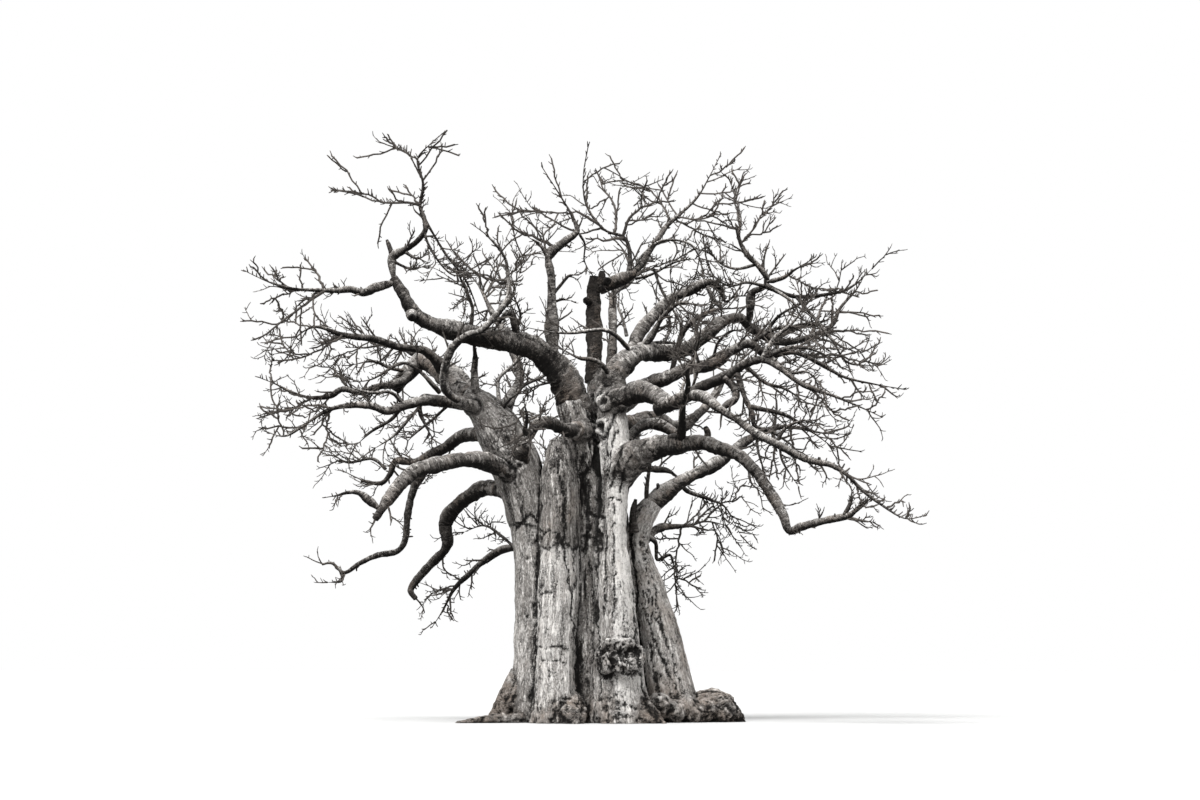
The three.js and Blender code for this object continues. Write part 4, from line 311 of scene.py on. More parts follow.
# Slimmer limbs that only the looks have: root and tip radius, how thickly shoots stand on it, or None where it ends
# blunt, as a broken or cut one does, and its route as across, height and depth.
LIMBS = [
    (0.12, 0.1, 0.3, "-2.09 10.9 -1, -2.17 11.31 -1.2, -2.29 11.58 -1.3, -2.49 11.49 -1.4, -2.79 11.05 -1.3"),
    (0.055, 0.02, 1.0, "-3.43 11.15 -1.3, -3.37 11.69 -1.35, -3.49 12.11 -1.4, -3.66 12.46 -1.45,"
        "-3.8 12.83 -1.5, -3.86 13.3 -1.5"),
    (0.055, 0.03, 0.8, "-1.1 12.1 -.35, -.87 12.39 -.4, -.61 12.69 -.45, -.4 12.71 -.5"),
    (0.14, 0.11, 0.3, "-3.2 8.9 -.35, -3.26 9.26 -.5, -3.31 9.83 -.55, -3.29 10.34 -.7, -3.37 10.95 -1.1"),
    (0.07, 0.03, 1.0, "-4.3 9.3 -.9, -4.51 9.54 -1.1, -4.94 9.97 -1.2, -5.43 10.14 -1.3, -6.23 9.69 -1.4,"
        "-6.9 9.6 -1.5"),
    (0.1, 0.05, 1.4, "-4.1 9.1 -.95, -4.71 9.17 -1.1, -4.86 8.97 -1.2, -4.83 8.69 -1.2, -4.71 8.4 -1.2,"
        "-4.46 7.94 -1.2"),
    (0.06, 0.03, 0.15, "-7.1 4.35 2.1, -7 3.95 2.1, -7.43 3.89 2.1"),
    (0.07, 0.03, 1.0, "-2.57 8.6 -.3, -2.45 8.9 -.6, -2.29 9.11 -.7, -2 9.31 -.8"),
    (0.09, 0.04, 1.0, "-1.45 8.42 -3, -1.66 8.06 -3.2, -1.8 7.89 -3.3, -2.09 7.77 -3.4"),
    (0.07, 0.035, 0.6, "1.2 10.45 -.5, .75 10.95 -.9, .4 11.11 -.95, -.03 11.09 -.9, -.51 11.03 -.95,"
        "-1.1 11.05 -.85, -1.9 11.2 -1.2"),
    (0.08, 0.05, 0.6, ".62 9.7 -.8, .35 10.1 -1.05, .03 10.26 -1.1, -.34 10.31 -1.1, -.86 10.6 -1.1"),
    (0.24, 0.19, None, ".11 9.6 .35, .12 10.6 .45, .1 11.5 .55, .09 12.2 .6, .12 12.68 .58"),
    (0.22, 0.12, 0.0, ".25 12.34 .6, .6 12.48 .6, .95 12.6 .6, 1.25 12.74 .6, 1.35 12.9 .65"),
    (0.05, 0.02, 0.6, "1.35 12.9 .75, 1.43 13.2 .9, 2.06 13.71 1, 2.91 13.6 1, 3.23 12.83 1, 2.94 12.3 1"),
    (0.05, 0.02, 0.6, "1.3 12.6 .65, 1.8 12.75 .5, 2.5 13.11 .3, 3.2 13.2 .1"),
    (0.11, 0.09, 0.4, "3.85 9.75 -3.7, 4.14 9.4 -3.75, 4.14 9.11 -3.8, 3.83 8.89 -3.85, 3.77 8.7 -3.9"),
    (0.11, 0.07, None, "3.23 7.8 -2.3, 3.36 8.1 -2.35, 3.29 8.33 -2.4"),
    (0.13, 0.08, 0.3, "1 6.6 .2, 1.43 7.09 .9, 1.86 7.11 1.2, 2.23 7.06 1.4, 2.57 6.83 1.5"),
    (0.075, 0.02, 1.6, "2.5 6.9 1.5, 2.75 6.5 1.6, 3.4 6.25 1.7, 3.86 6 1.8, 4.29 5.2 1.9"),
    (0.08, 0.03, 0.8, "1.6 5.2 .3, 1.86 5 .7, 1.91 4.54 .9, 2.31 4.63 1, 2.43 3.63 1"),
    (0.13, 0.07, None, "1.25 5.3 -.3, 1.22 5.8 -.35, 1.3 6.25 -.35"),
    (0.06, 0.04, 1.6, "7.2 5.75 -3.8, 7.4 6.15 -3.8, 7.45 6.5 -3.85"),
    (0.06, 0.03, 1.6, "7.3 5.78 -3.8, 7.65 6 -3.85, 7.9 6.3 -3.9"),
    (0.06, 0.03, 1.6, "7.3 5.76 -3.8, 7.65 5.65 -3.85, 8.05 5.6 -3.9"),
    (0.08, 0.05, 0.3, "1.6 6.05 .1, 1.62 6.6 0, 1.7 7.26 -.1, 1.6 7.6 -.15"),
    (0.07, 0.05, None, "1.9 6.3 .2, 1.95 6.55 .1, 1.92 6.7 .1"),
    (0.19, 0.14, 0.4, ".8 7.5 .3, 1.09 7.94 .4, 1.43 8.31 .4, 1.86 8.4 .45, 2.51 8.09 .5, 3 7.7 .4"),
    (0.18, 0.06, 0.8, "1.1 10.35 -.3, 1.45 11.1 .3, 1.9 11.6 .6, 2.3 12 .8, 2.83 12.23 .9, 3.17 12.43 .9,"
        "3.54 12.49 .9, 3.77 12.26 .9, 3.89 11.94 .9, 4.17 12.09 .9, 4.57 12.11 .9"),
    (0.07, 0.05, 0.6, "3.35 12.45 .9, 3.5 12.1 .8, 3.85 11.6 .9"),
    (0.11, 0.05, 1.0, "1.45 10.5 -.1, 1.8 11 -.3, 2.1 11.5 -.5, 2.6 11.9 -.7, 3.2 11.8 -.9"),
    (0.09, 0.03, 1.0, "4.2 9.95 -3.85, 4.4 9.2 -3.9, 4.63 8.74 -4, 4.71 8.34 -4, 5.14 8.2 -4, 5.71 7.83 -4,"
        "5.94 7.6 -4"),
    (0.07, 0.025, 1.0, "4.6 8.9 -4, 5.57 8.66 -4.1, 6.34 8.17 -4.2, 6.91 7.74 -4.3"),
    (0.04, 0.02, 1.2, "4.75 8.15 -4.3, 4.8 7.6 -4.2, 5.03 6.83 -4.2"),
    (0.04, 0.02, 1.2, "5.4 7.8 -4.7, 5.5 7.3 -4.6, 5.94 6.6 -4.5"),
    (0.09, 0.04, 1.2, "2.3 9.72 0, 2.6 10.9 .2, 3 11.4 .1, 3.6 11.7 0, 4.3 11.75 -.2"),
    (0.08, 0.03, 1.2, "4.9 10.25 -4.2, 5.5 10.55 -4.4, 6.2 10.6 -4.5, 7 10.3 -4.6"),
    (0.17, 0.15, None, "-5.09 11.62 -1.55, -5.11 11.47 -1.95"),
    (0.19, 0.16, None, "-3.03 11 -1.1, -3.02 10.96 -1.7"),
    (0.09, 0.05, None, "-5.67 13.1 -1.7, -5.75 13.45 -1.7, -5.86 13.74 -1.7"),
    (0.26, 0.2, None, "-1.95 7.2 -.6, -1.97 7.55 -.85, -1.85 7.78 -.95"),
    (0.15, 0.14, None, ".46 12.48 .6, .52 12.55 .3"),
    (0.12, 0.1, None, ".02 11.9 .5, -.15 12 .25"),
    (0.05, 0.02, 1.2, "1.05 10.94 -.2, .95 11.4 -.1, .82 11.74 0, .7 12.09 .1"),
    (0.05, 0.02, 0.8, "1.83 12.9 .4, 2.05 12.3 .35, 2.25 11.95 .3, 2.62 11.31 .2, 2.91 11.07 .1"),
    (0.07, 0.03, 1.0, "1.6 10.69 .5, 2.1 10.75 .9, 2.66 10.69 1.2, 3.3 10.8 1.4"),
    (0.05, 0.03, 1.2, "2.79 9.86 -.4, 2.62 9.35 -1.1, 2.58 8.93 -1.4, 2.5 8.14 -1.8"),
    (0.06, 0.02, 0.9, "2 10.5 .3, 2.3 11.2 .9, 2.2 11.8 1.3, 2.6 12.3 1.6"),
    (0.06, 0.02, 1.4, "3 10.75 .75, 3.1 11.3 1.2, 3.5 11.8 1.5, 3.4 12.3 1.8"),
    (0.05, 0.02, 1.4, "3.5 10.2 -.3, 3.7 10.8 -.7, 4.1 11.1 -1, 4.5 11 -1.3"),
    (0.05, 0.02, 1.4, "2.9 9.35 -3.2, 3.1 10.1 -3.4, 3 10.7 -3.6, 3.4 11.1 -3.8"),
    (0.05, 0.02, 1.4, "5.3 7.85 -4.75, 5.6 8.3 -4.8, 6.1 8.5 -4.9, 6.5 8.4 -5"),
    (0.06, 0.02, 0.6, "4.2 7.75 .9, 4.5 7.2 1.1, 4.6 6.7 1.2, 5.1 6.3 1.3"),
    (0.05, 0.02, 1.3, "-2.3 10.8 -1, -2 11.5 -1.2, -2.2 12.2 -1.3, -2 12.8 -1.4"),
    (0.06, 0.03, 1.3, "-5.2 9.9 .9, -5.7 10 .6, -6.2 10.2 .4, -6.8 10.1 .3"),
    (0.06, 0.03, 1.3, "-5.3 8.93 -1.6, -5.7 9.3 -1.8, -6.3 9.3 -2, -7 9.5 -2.1"),
    (0.06, 0.03, 1.0, "5 10.95 1.45, 5.4 11.5 1.2, 5.9 11.8 1, 6.4 12 .8"),
    (0.06, 0.03, 1.0, "5.3 10.85 1.55, 5.8 11.2 1.3, 6.3 11.3 1.1, 6.8 11.2 .9"),
    (0.05, 0.03, 1.0, "5.1 12.4 .5, 5.6 12.1 .3, 6.1 11.7 .1, 6.5 11.4 0"),
    (0.07, 0.05, 1.2, "5.4 10.9 1.6, 5.9 11.15 1.3, 6.4 11.3 1.1, 6.8 11.4 1"),
    (0.06, 0.03, 1.8, "-2.3 8.9 .2, -1.9 9.5 .9, -1.3 9.8 1.3, -.9 10.3 1.6"),
    (0.06, 0.03, 1.8, "-2.6 9 .3, -2.6 9.7 1, -2.1 10.2 1.5, -1.9 10.7 1.8"),
    (0.05, 0.03, 1.8, "-.5 9.3 .1, -.9 9.6 .8, -1.5 9.5 1.2, -1.9 9.3 1.5"),
    (0.05, 0.02, 2.0, "-2.1 4.85 .4, -2.5 5.2 1, -3 5.5 1.4, -3.6 5.3 1.7"),
    (0.16, 0.12, None, ".25 12.2 .6, .32 12.55 .55, .35 12.84 .5"),
    (0.035, 0.02, 0.8, "-.3 13.9 -.2, -.15 13.6 -.1, -.17 13.15 0, 0 12.8 .2"),
    (0.06, 0.02, 1.5, "-1.1 11.9 -.35, -.8 12 -.4, -.53 11.96 -.45"),
    (0.07, 0.03, 0.5, "5.05 12.4 .5, 5.92 12.09 .4, 7.04 12.2 .1, 7.59 12.42 0, 8.15 12.93 -.1"),
    (0.05, 0.03, 0.8, "5.92 12.09 .4, 6.48 11.42 .2, 7.04 10.75 0, 7.82 10.41 -.2"),
    (0.04, 0.025, 0.8, "6.95 10.85 0, 7.37 10.19 -.1, 8.26 10.08 -.2"),
    (0.045, 0.03, 1.5, "-4.75 14.3 -2, -4.53 13.93 -1.9, -4.14 13.29 -1.8, -3.63 12.65 -1.6, -3.3 11.9 -1.4,"
        "-3.11 11.23 -1.2"),
    (0.04, 0.025, 1.4, "-4.8 14.2 -2, -4.7 13.7 -2.1, -4.35 13.1 -2.2, -3.9 12.7 -2.2, -3.4 12.9 -2.2"),
    (0.05, 0.03, 2.2, "-5.37 13.42 -1.8, -5 13.2 -1.9, -4.7 13.3 -2"),
    (0.05, 0.03, 2.2, "-5.65 13.1 -1.7, -5.2 12.9 -1.8, -4.8 12.95 -1.9"),
    (0.12, 0.07, 0.3, "-1.2 13.25 -.2, -.85 13.6 -.2, -.4 13.95 -.2, -.32 14.15 -.2"),
    (0.06, 0.03, 0.5, "-1.2 13.2 -.2, -1.45 13.6 -.25, -1.78 13.82 -.3"),
    (0.05, 0.03, 0.8, "-5.29 8.94 -1.6, -5.7 8.5 -1.5, -6.2 8.2 -1.5, -6.7 7.75 -1.4"),
    (0.05, 0.03, 0.8, "-4.71 9.06 -1.3, -5.2 8.5 -1.2, -5.6 8.05 -1.1, -6.2 7.65 -1"),
    (0.05, 0.03, 1.6, "-4 9 -.8, -4.4 8.6 -.7, -4.9 8.2 -.6, -5.2 7.9 -.5"),
    (0.06, 0.03, 1.8, "4.6 10.7 -.2, 5.2 11.1 -.5, 5.8 11.2 -.7, 6.3 10.9 -.8"),
    (0.06, 0.03, 1.8, "4.9 10.25 -4.2, 5.3 10.9 -4, 5.8 11.3 -3.9, 6.2 11.9 -3.8"),
    (0.06, 0.03, 1.8, "5.1 10.4 0, 5.7 9.9 -.4, 6.2 9.9 -.6, 6.6 9.6 -.8"),
    (0.05, 0.03, 1.8, "4.43 10.11 -4, 5 9.6 -3.9, 5.6 9.4 -3.8, 6.2 9 -3.8"),
    (0.05, 0.03, 1.6, "4.8 13.03 .4, 4.2 12.9 .6, 3.7 13.1 .8, 3.4 13.5 .9"),
    (0.05, 0.03, 1.6, "5 12.4 .5, 4.5 12.5 .3, 4 12.4 .2, 3.5 12.7 .1"),
    (0.05, 0.03, 1.3, "-5.8 7.1 2.2, -6.2 7.4 2.3, -6.9 7.3 2.4, -7.4 7.6 2.4"),
]

# Knuckles of root at the foot of the trunk: [across, height, depth, radius].
KNUCKLES = [
    [1.55, 0.3, -1.1, 0.34], [1.95, 0.42, -0.95, 0.36], [2.35, 0.3, -0.85, 0.33], [2.7, 0.42, -0.6, 0.36],
    [2.95, 0.2, -0.65, 0.3], [3.3, 0.3, -0.45, 0.32], [3.75, 0.2, -0.4, 0.28], [-1.05, 0.1, -1.72, 0.2],
    [-0.5, 0.12, -1.72, 0.18], [1.1, 0.1, -1.75, 0.2],
]

# The burl's hanging lobes, likewise, and the knobs of the rim round it, with their depth and radius and by how much
# these vary.
LOBES = [
    [0.4, 1.72, -1.98, 0.16], [0.45, 1.5, -1.98, 0.18], [0.79, 1.64, -2.1, 0.15], [0.79, 1.5, -2.06, 0.14],
    [1.1, 1.62, -2.12, 0.19], [1.3, 1.6, -2.02, 0.18], [0.78, 1.24, -1.8, 0.08],
]
RIM = {"knobs": 17, "half_width": 0.6, "half_height": 0.46, "depth": (-1.86, 0.12), "radius": (0.13, 0.04)}

# The source's rule of growth, and the finer twigs that carry it on.
RULE = {
    "first_at": 0.1,
    "arm_radius": 0.62,
    "leaving": (0.75, 1.15),
    "wander": 0.3,
    "golden_turn": 2.39996,
    "golden_share": 0.618034,
    "full_turn": 6.28,
    "turn_stray": 0.4,
    "levels": [
        {"every": 0.6, "most": 4, "steps": 2, "length": (0.6, 1.0), "radius": 0.6},
        {"every": 0.75, "most": 1, "steps": 1, "length": (0.5, 0.75), "radius": 0.75},
    ],
    "stem_rings": 2,
    "fine_wander": 0.17,
}


# ---------------------------------------------------------------- the source's growth, in metres

def unit(v):
    return v / np.maximum(np.linalg.norm(v, axis=-1, keepdims=True), 1e-12)


def place(read):
    """A point read on the front elevation, put at its depth."""
    across, height, depth = read[:3]
    spread = 1 + depth / VIEW_DISTANCE
    return np.array([across * spread, depth, EYE_HEIGHT + (height - EYE_HEIGHT) * spread])


def elevation_of(points):
    """Where points show on the front elevation: across and height."""
    shrink = 1 / (1 + points[..., 1] / VIEW_DISTANCE)
    return points[..., 0] * shrink, EYE_HEIGHT + (points[..., 2] - EYE_HEIGHT) * shrink


def placed(text):
    return [place(point) for point in route_of(text)]


def inside_crown(points):
    across, height = elevation_of(np.asarray(points))
    return ((across > CROWN["left"]) & (across < CROWN["right"]) & (height < CROWN["top"])
            & (height > CROWN["foot"]))


class Curve:
    """A smooth curve through points, as the source draws it."""

    def __init__(self, points):
        p = np.array(points, float)
        self.spans = len(p) - 1
        self.knots = np.vstack([2 * p[0] - p[1], p, 2 * p[-1] - p[-2]])
        self.table = np.linspace(0, 1, 201)
        run = np.linalg.norm(np.diff(self.at(self.table), axis=0), axis=1)
        self.run = np.concatenate([[0], np.cumsum(run)])
        self.length = self.run[-1]

    def at(self, t):
        t = np.asarray(t, float) * self.spans
        i = np.clip(t.astype(int), 0, self.spans - 1)
        w = (t - i)[..., None]
        p0, p1, p2, p3 = (self.knots[i + k] for k in range(4))
        t0, t1 = 0.5 * (p2 - p0), 0.5 * (p3 - p1)
        return p1 + w * (t0 + w * (3 * (p2 - p1) - 2 * t0 - t1 + w * (2 * (p1 - p2) + t0 + t1)))

    def evenly(self, shares):
        """Parameters at these shares of the curve's length."""
        return np.interp(np.asarray(shares) * self.length, self.run, self.table)


def perpendicular_to(direction):
    direction = np.asarray(direction)
    other = np.where(np.abs(direction[..., 2:3]) < 0.9, UP, ACROSS)
    return unit(np.cross(direction, other))


def frames_along(points):
    """Which way a path runs at each point, and two sides that turn as little as they can."""
    points = np.asarray(points, float)
    along = unit(np.concatenate([points[1:2] - points[:1], points[2:] - points[:-2], points[-1:] - points[-2:-1]]))
    side = [perpendicular_to(along[0])]
    for a in along[1:]:
        side.append(unit(side[-1] - a * np.dot(side[-1], a)))
    side = np.array(side)
    return {"point": points, "along": along, "side": side, "across": np.cross(along, side)}


def sampled_stem(route, ring_step):
    curve = Curve([place(p) for p in route])
    widths = Curve([[i, p[3], 0] for i, p in enumerate(route)])
    rings = max(2, math.floor(curve.length / ring_step + 0.5))
    t = curve.evenly(np.arange(rings + 1) / rings)
    return curve.at(t), widths.at(t)[:, 1]


def rounded_end(points, radii):
    along = unit(points[-1] - points[-2])
    tip = [points[-1] + along * radii[-1] * rise for rise, _ in ROUNDING]
    return np.vstack([points, tip]), np.concatenate([radii, [radii[-1] * width for _, width in ROUNDING]])


def sunk(route):
    across, _, depth, radius = route[0]
    return [[across, -ROOT_SINK, depth, radius * ROOT_SWELL], *route]


class Room:
    """Every limb as short capsules, so that a collar or a twig can be measured against what is already there."""

    def __init__(self):
        self.count = 0
        self.a, self.b = np.zeros((2, MOST_CAPSULES, 3))
        self.radius = np.zeros(MOST_CAPSULES)
        self.owner = np.zeros(MOST_CAPSULES, int)
        self.names = {}

    def number(self, owner):
        return self.names.setdefault(owner, len(self.names))

    def add(self, owner, points, radii):
        n = len(points) - 1
        where = slice(self.count, self.count + n)
        self.a[where], self.b[where] = points[:-1], points[1:]
        self.radius[where] = np.maximum(radii[:-1], radii[1:])
        self.owner[where] = self.number(owner)
        self.count += n

    def least(self, a, b, radius, owner, among_own):
        """Least room between a stretch and the capsules of one owner, or of all the others."""
        same = self.owner[:self.count] == self.number(owner)
        pick = same if among_own else ~same
        low, high, wide = self.a[:self.count][pick], self.b[:self.count][pick], self.radius[:self.count][pick]
        d1, d2, r = b - a, high - low, a - low
        aa, e, f = d1 @ d1, (d2 * d2).sum(1), (d2 * r).sum(1)
        c, bb = r @ d1, d2 @ d1
        den = aa * e - bb * bb
        s = np.where(den > 1e-21, np.clip((bb * f - c * e) / np.where(den > 1e-21, den, 1), 0, 1), 0)
        t = np.clip((bb * s + f) / e, 0, 1)
        s = np.clip((bb * t - c) / aa, 0, 1)
        gap = np.linalg.norm(a + s[:, None] * d1 - low - t[:, None] * d2, axis=1) - radius - wide
        return gap.min() if len(gap) else math.inf


class Draw:
    """A repeatable stream of numbers from 0 to 1."""

    def __init__(self, seed):
        self.state = seed % WORD
        self.next()
        self.next()

    def next(self):
        self.state = (self.state * 1664525 + 1013904223) % WORD
        return self.state / WORD

    def between(self, low, high):
        return low + (high - low) * self.next()


def seed_of(parent_seed, index):
    return (parent_seed * 69069 + index * 40503 + 12345) % WORD


def point_on(path, share):
    at = share * (len(path) - 1)
    i = min(int(at), len(path) - 2)
    return path[i] + (path[i + 1] - path[i]) * (at - i), unit(path[i + 1] - path[i])


def nearest_share(path, point):
    best = (math.inf, 0.0)
    for i in range(len(path) - 1):
        d = path[i + 1] - path[i]
        t = min(max(np.dot(point - path[i], d) / np.dot(d, d), 0), 1)
        best = min(best, (np.linalg.norm(path[i] + d * t - point), (i + t) / (len(path) - 1)))
    return best[1]


def width_at(share):
    return np.sqrt(np.sin(np.pi * (0.14 + 0.72 * share)))


def turned(side, along, turn):
    """A side turned about the direction it is square to."""
    c, s = np.cos(turn), np.sin(turn)
    if np.ndim(turn):
        c, s = c[:, None], s[:, None]
    return side * c + np.cross(along, side) * s


def line_of(bough, tree):
    """The whole line of a bough and of the stem of its mass, ring by ring as in the source."""
    points = placed(bough["route"])
    end = None
    if "after" in bough:
        end = tree["stem_ends"][bough["start"]] if bough["after"] == "trunk" else tree["limb_ends"][bough["after"]]
        points = [end[0] - end[1] * 0.001, end[0], *points]
    stem = placed(bough["mass"]["stem"]) if "mass" in bough else []
    curve = Curve(points + stem)
    spans = len(points) + len(stem) - 1
    first = 0 if end is None else 1 / spans
    tip = (len(points) - 1) / spans
    rings = max(3, math.floor(curve.length * (tip - first) / BOUGH_RING_STEP + 0.5))
    stem_count = len(stem) * RULE["stem_rings"]
    shares = [first + (tip - first) * i / rings for i in range(rings + 1)]
    shares += [tip + (1 - tip) * i / stem_count for i in range(1, stem_count + 1)]
    path = curve.at(shares)
    root, last = bough["radius"]
    radii = [root + (last - root) * i / rings for i in range(rings + 1)]
    radii += [last * STEM_FIT * (1 - i / stem_count) for i in range(1, stem_count + 1)]
    return {"curve": curve, "first": first, "tip": tip, "path": path, "radii": np.array(radii), "rings": rings,
            "frames": frames_along(path), "joined": end is not None}


def collar_rings(line, carrier, room):
    for i in range(1, line["rings"]):
        a = line["path"][i]
        b = a + line["frames"]["along"][i] * 0.001
        if room.least(a, b, line["radii"][i], carrier, True) > COLLAR_CLEAR:
            return i
    raise RuntimeError("a bough never leaves what carries it: " + carrier)


def grow_sides(mass, parent, level, keep):
    if level >= len(RULE["levels"]):
        return
    rule = RULE["levels"][level]
    length = np.linalg.norm(np.diff(parent["path"], axis=0), axis=1).sum()
    for k in range(min(rule["most"], int(length / rule["every"]))):
        seed = seed_of(parent["seed"], k)
        draw = Draw(seed)
        share = RULE["first_at"] + (1 - RULE["first_at"]) * ((0.5 + k * RULE["golden_share"]) % 1)
        point, along = point_on(parent["path"], share)
        turn = parent["turn"] + k * RULE["golden_turn"] + draw.between(-RULE["turn_stray"], RULE["turn_stray"])
        side = turned(perpendicular_to(along), along, turn)
        angle = draw.between(*RULE["leaving"])
        direction = along * math.cos(angle) + side * math.sin(angle)
        reach = parent["reach"] * draw.between(*rule["length"]) * width_at(share)
        radius = parent["radius"] * (1 - share) * rule["radius"]
        path = [point]
        for _ in range(rule["steps"]):
            stray = np.array([draw.between(-1, 1) for _ in range(3)])
            direction = unit(direction + stray * RULE["wander"] + UP * mass["lift"])
            path.append(path[-1] + direction * reach / rule["steps"])
        twig = {"seed": seed, "path": np.array(path), "reach": reach, "radius": radius, "level": level,
                "turn": draw.between(0, RULE["full_turn"])}
        if keep(twig):
            grow_sides(mass, twig, level + 1, keep)


def grow_tree():
    """The source's limbs and twigs: each bough's line, and for each mass its stem, arms and side twigs."""
    room = Room()
    tree = {"stem_ends": {}, "limb_ends": {}, "lines": {}, "collars": {}, "masses": {}, "room": room}
    for name, route in STEMS.items():
        points, radii = sampled_stem(sunk(route), STEM_RING_STEP)
        if name not in FLAT_TOPPED:
            points, radii = rounded_end(points, radii)
        tree["stem_ends"][name] = (points[-1], unit(points[-1] - points[-2]))
        room.add("trunk", points, radii)
    for bough in BOUGHS:
        line = line_of(bough, tree)
        start = 0 if line["joined"] else collar_rings(line, bough["on"], room)
        tree["collars"][bough["name"]] = start
        if bough.get("fused"):
            start = line["rings"]
        path, radii, rings = line["path"], line["radii"], line["rings"]
        if start > 0:
            room.add(bough["on"], path[:start + 1], radii[:start + 1])
        if not bough.get("fused"):
            room.add(bough["name"], path[start:rings + 1], radii[start:rings + 1])
        tree["limb_ends"][bough["name"]] = (path[rings], line["frames"]["along"][rings])
        tree["lines"][bough["name"]] = line
    tree["limb_count"] = room.count
    for bough in BOUGHS:
        if "mass" not in bough:
            continue
        mass, line = bough["mass"], tree["lines"][bough["name"]]
        path, radii = line["path"][line["rings"]:], line["radii"][line["rings"]:].copy()
        radii[0] *= STEM_FIT
        room.add(mass["name"], path, radii)
        grown = []

        def keep(twig, mass=mass, grown=grown):
            p = twig["path"]
            r = twig["radius"] * (1 - np.arange(len(p)) / (len(p) - 1))
            if not inside_crown(p).all():
                return False
            for i in range(len(p) - 1):
                if room.least(p[i], p[i + 1], r[i], mass["name"], False) <= TWIG_CLEAR:
                    return False
            room.add(mass["name"], p, r)
            grown.append(twig)
            return True

        stem = {"seed": mass["seed"], "path": path, "reach": mass["spread"], "turn": mass["seed"],
                "radius": radii[0], "level": -2}
        arms = []
        for i, route in enumerate(mass.get("arms", [])):
            arm = np.array(placed(route))
            share = nearest_share(path, arm[0])
            arm[0] = point_on(path, share)[0]
            arms.append({"seed": seed_of(mass["seed"], 100 + i), "path": arm, "reach": stem["reach"], "turn": i,
                         "radius": stem["radius"] * (1 - share) * RULE["arm_radius"], "level": -1})
        for parent in [stem, *[arm for arm in arms if keep(arm)]]:
            grow_sides(mass, parent, 0, keep)
        tree["masses"][mass["name"]] = {"mass": mass, "stem": stem, "twigs": grown}
    return tree


# ---------------------------------------------------------------- meshes from arrays

class Bundle:
    """Corners and faces of many tubes, joined into one piece, with values that their bark reads."""

    def __init__(self):
        self.corners, self.quads, self.tris, self.values = [], [], [], {}
        self.count = 0

    def add(self, corners, quads, tris, **values):
        self.corners.append(corners)
        self.quads.append(quads + self.count)
        self.tris.append(tris + self.count)
        for name, value in values.items():
            self.values.setdefault(name, []).append(value)
        self.count += len(corners)

    def triangles(self):
        return 2 * sum(len(q) for q in self.quads) + sum(len(t) for t in self.tris)

    def mesh(self, name):
        corners = np.concatenate(self.corners)
        quads, tris = np.concatenate(self.quads), np.concatenate(self.tris)
        made = bpy.data.meshes.new(name)
        made.vertices.add(len(corners))
        made.vertices.foreach_set("co", corners.astype(np.float32).ravel())
        made.loops.add(quads.size + tris.size)
        made.loops.foreach_set("vertex_index", np.concatenate([quads.ravel(), tris.ravel()]).astype(np.int32))
        made.polygons.add(len(quads) + len(tris))
        starts = np.concatenate([np.arange(len(quads)) * 4, quads.size + np.arange(len(tris)) * 3])
        made.polygons.foreach_set("loop_start", starts.astype(np.int32))
        made.update(calc_edges=True)
        made.validate()
        for key, value in self.values.items():
            store(made, key, np.concatenate(value))
        made.polygons.foreach_set("use_smooth", np.ones(len(made.polygons), bool))
        return made


def store(mesh, name, values):
    """Keeps a number or a vector on each corner of a mesh, for its material."""
    vector = values.ndim == 2
    layer = mesh.attributes.new(name, "FLOAT_VECTOR" if vector else "FLOAT", "POINT")
    layer.data.foreach_set("vector" if vector else "value", values.astype(np.float32).ravel())


def ring_faces(rings, sides, tubes=1):
    """Quads between the rings of tubes whose corners run ring by ring, and the base and tip fans."""
    i, j = np.meshgrid(np.arange(rings - 1), np.arange(sides), indexing="ij")
    k = (j + 1) % sides
    quads = np.stack([i * sides + j, i * sides + k, (i + 1) * sides + k, (i + 1) * sides + j], -1).reshape(-1, 4)
    j = np.arange(sides)
    k = (j + 1) % sides
    per = rings * sides + 2
    base = np.stack([np.full(sides, per - 2), k, j], -1)
    top = (rings - 1) * sides
    tip = np.stack([np.full(sides, per - 1), top + j, top + k], -1)
    tris = np.vstack([base, tip])
    shift = (np.arange(tubes) * per)[:, None, None]
    return (quads[None] + shift).reshape(-1, 4), (tris[None] + shift).reshape(-1, 3)


def thin_tubes(bundle, paths, radii, sides, tone):
    """Adds many tubes of the same number of rings at once. paths is tubes x rings x 3."""
    tubes, rings, _ = paths.shape
    along = np.empty_like(paths)
    along[:, 1:-1] = paths[:, 2:] - paths[:, :-2]
    along[:, 0], along[:, -1] = paths[:, 1] - paths[:, 0], paths[:, -1] - paths[:, -2]
    along = unit(along)
    side = perpendicular_to(along[:, 0])
    corners = np.empty((tubes, rings * sides + 2, 3))
    angle = np.arange(sides) * 2 * np.pi / sides
    for i in range(rings):
        side = unit(side - along[:, i] * (side * along[:, i]).sum(1, keepdims=True))
        other = np.cross(along[:, i], side)
        ring = (side[:, None] * np.cos(angle)[None, :, None] + other[:, None] * np.sin(angle)[None, :, None])
        corners[:, i * sides:(i + 1) * sides] = paths[:, i, None] + ring * radii[:, i, None, None]
    corners[:, -2] = paths[:, 0]
    corners[:, -1] = paths[:, -1] + along[:, -1] * radii[:, -1, None]
    quads, tris = ring_faces(rings, sides, tubes)
    bundle.add(corners.reshape(-1, 3), quads, tris, tone=np.repeat(tone, rings * sides + 2))


def fractal(points, octaves, shift):
    """Layered noise at each point, about -1 to 1."""
    move = Vector((shift * 7.31, shift * 3.17, shift * 5.93))
    return np.array([noise.fractal(Vector(p) + move, 0.9, 2.1, octaves) for p in points])


def smoothstep(low, high, x):
    t = np.clip((x - low) / (high - low), 0, 1)
    return t * t * (3 - 2 * t)


def bump_at(distance, width):
    """1 at no distance, fading within about a width."""
    return np.exp(-(distance / width) ** 2)


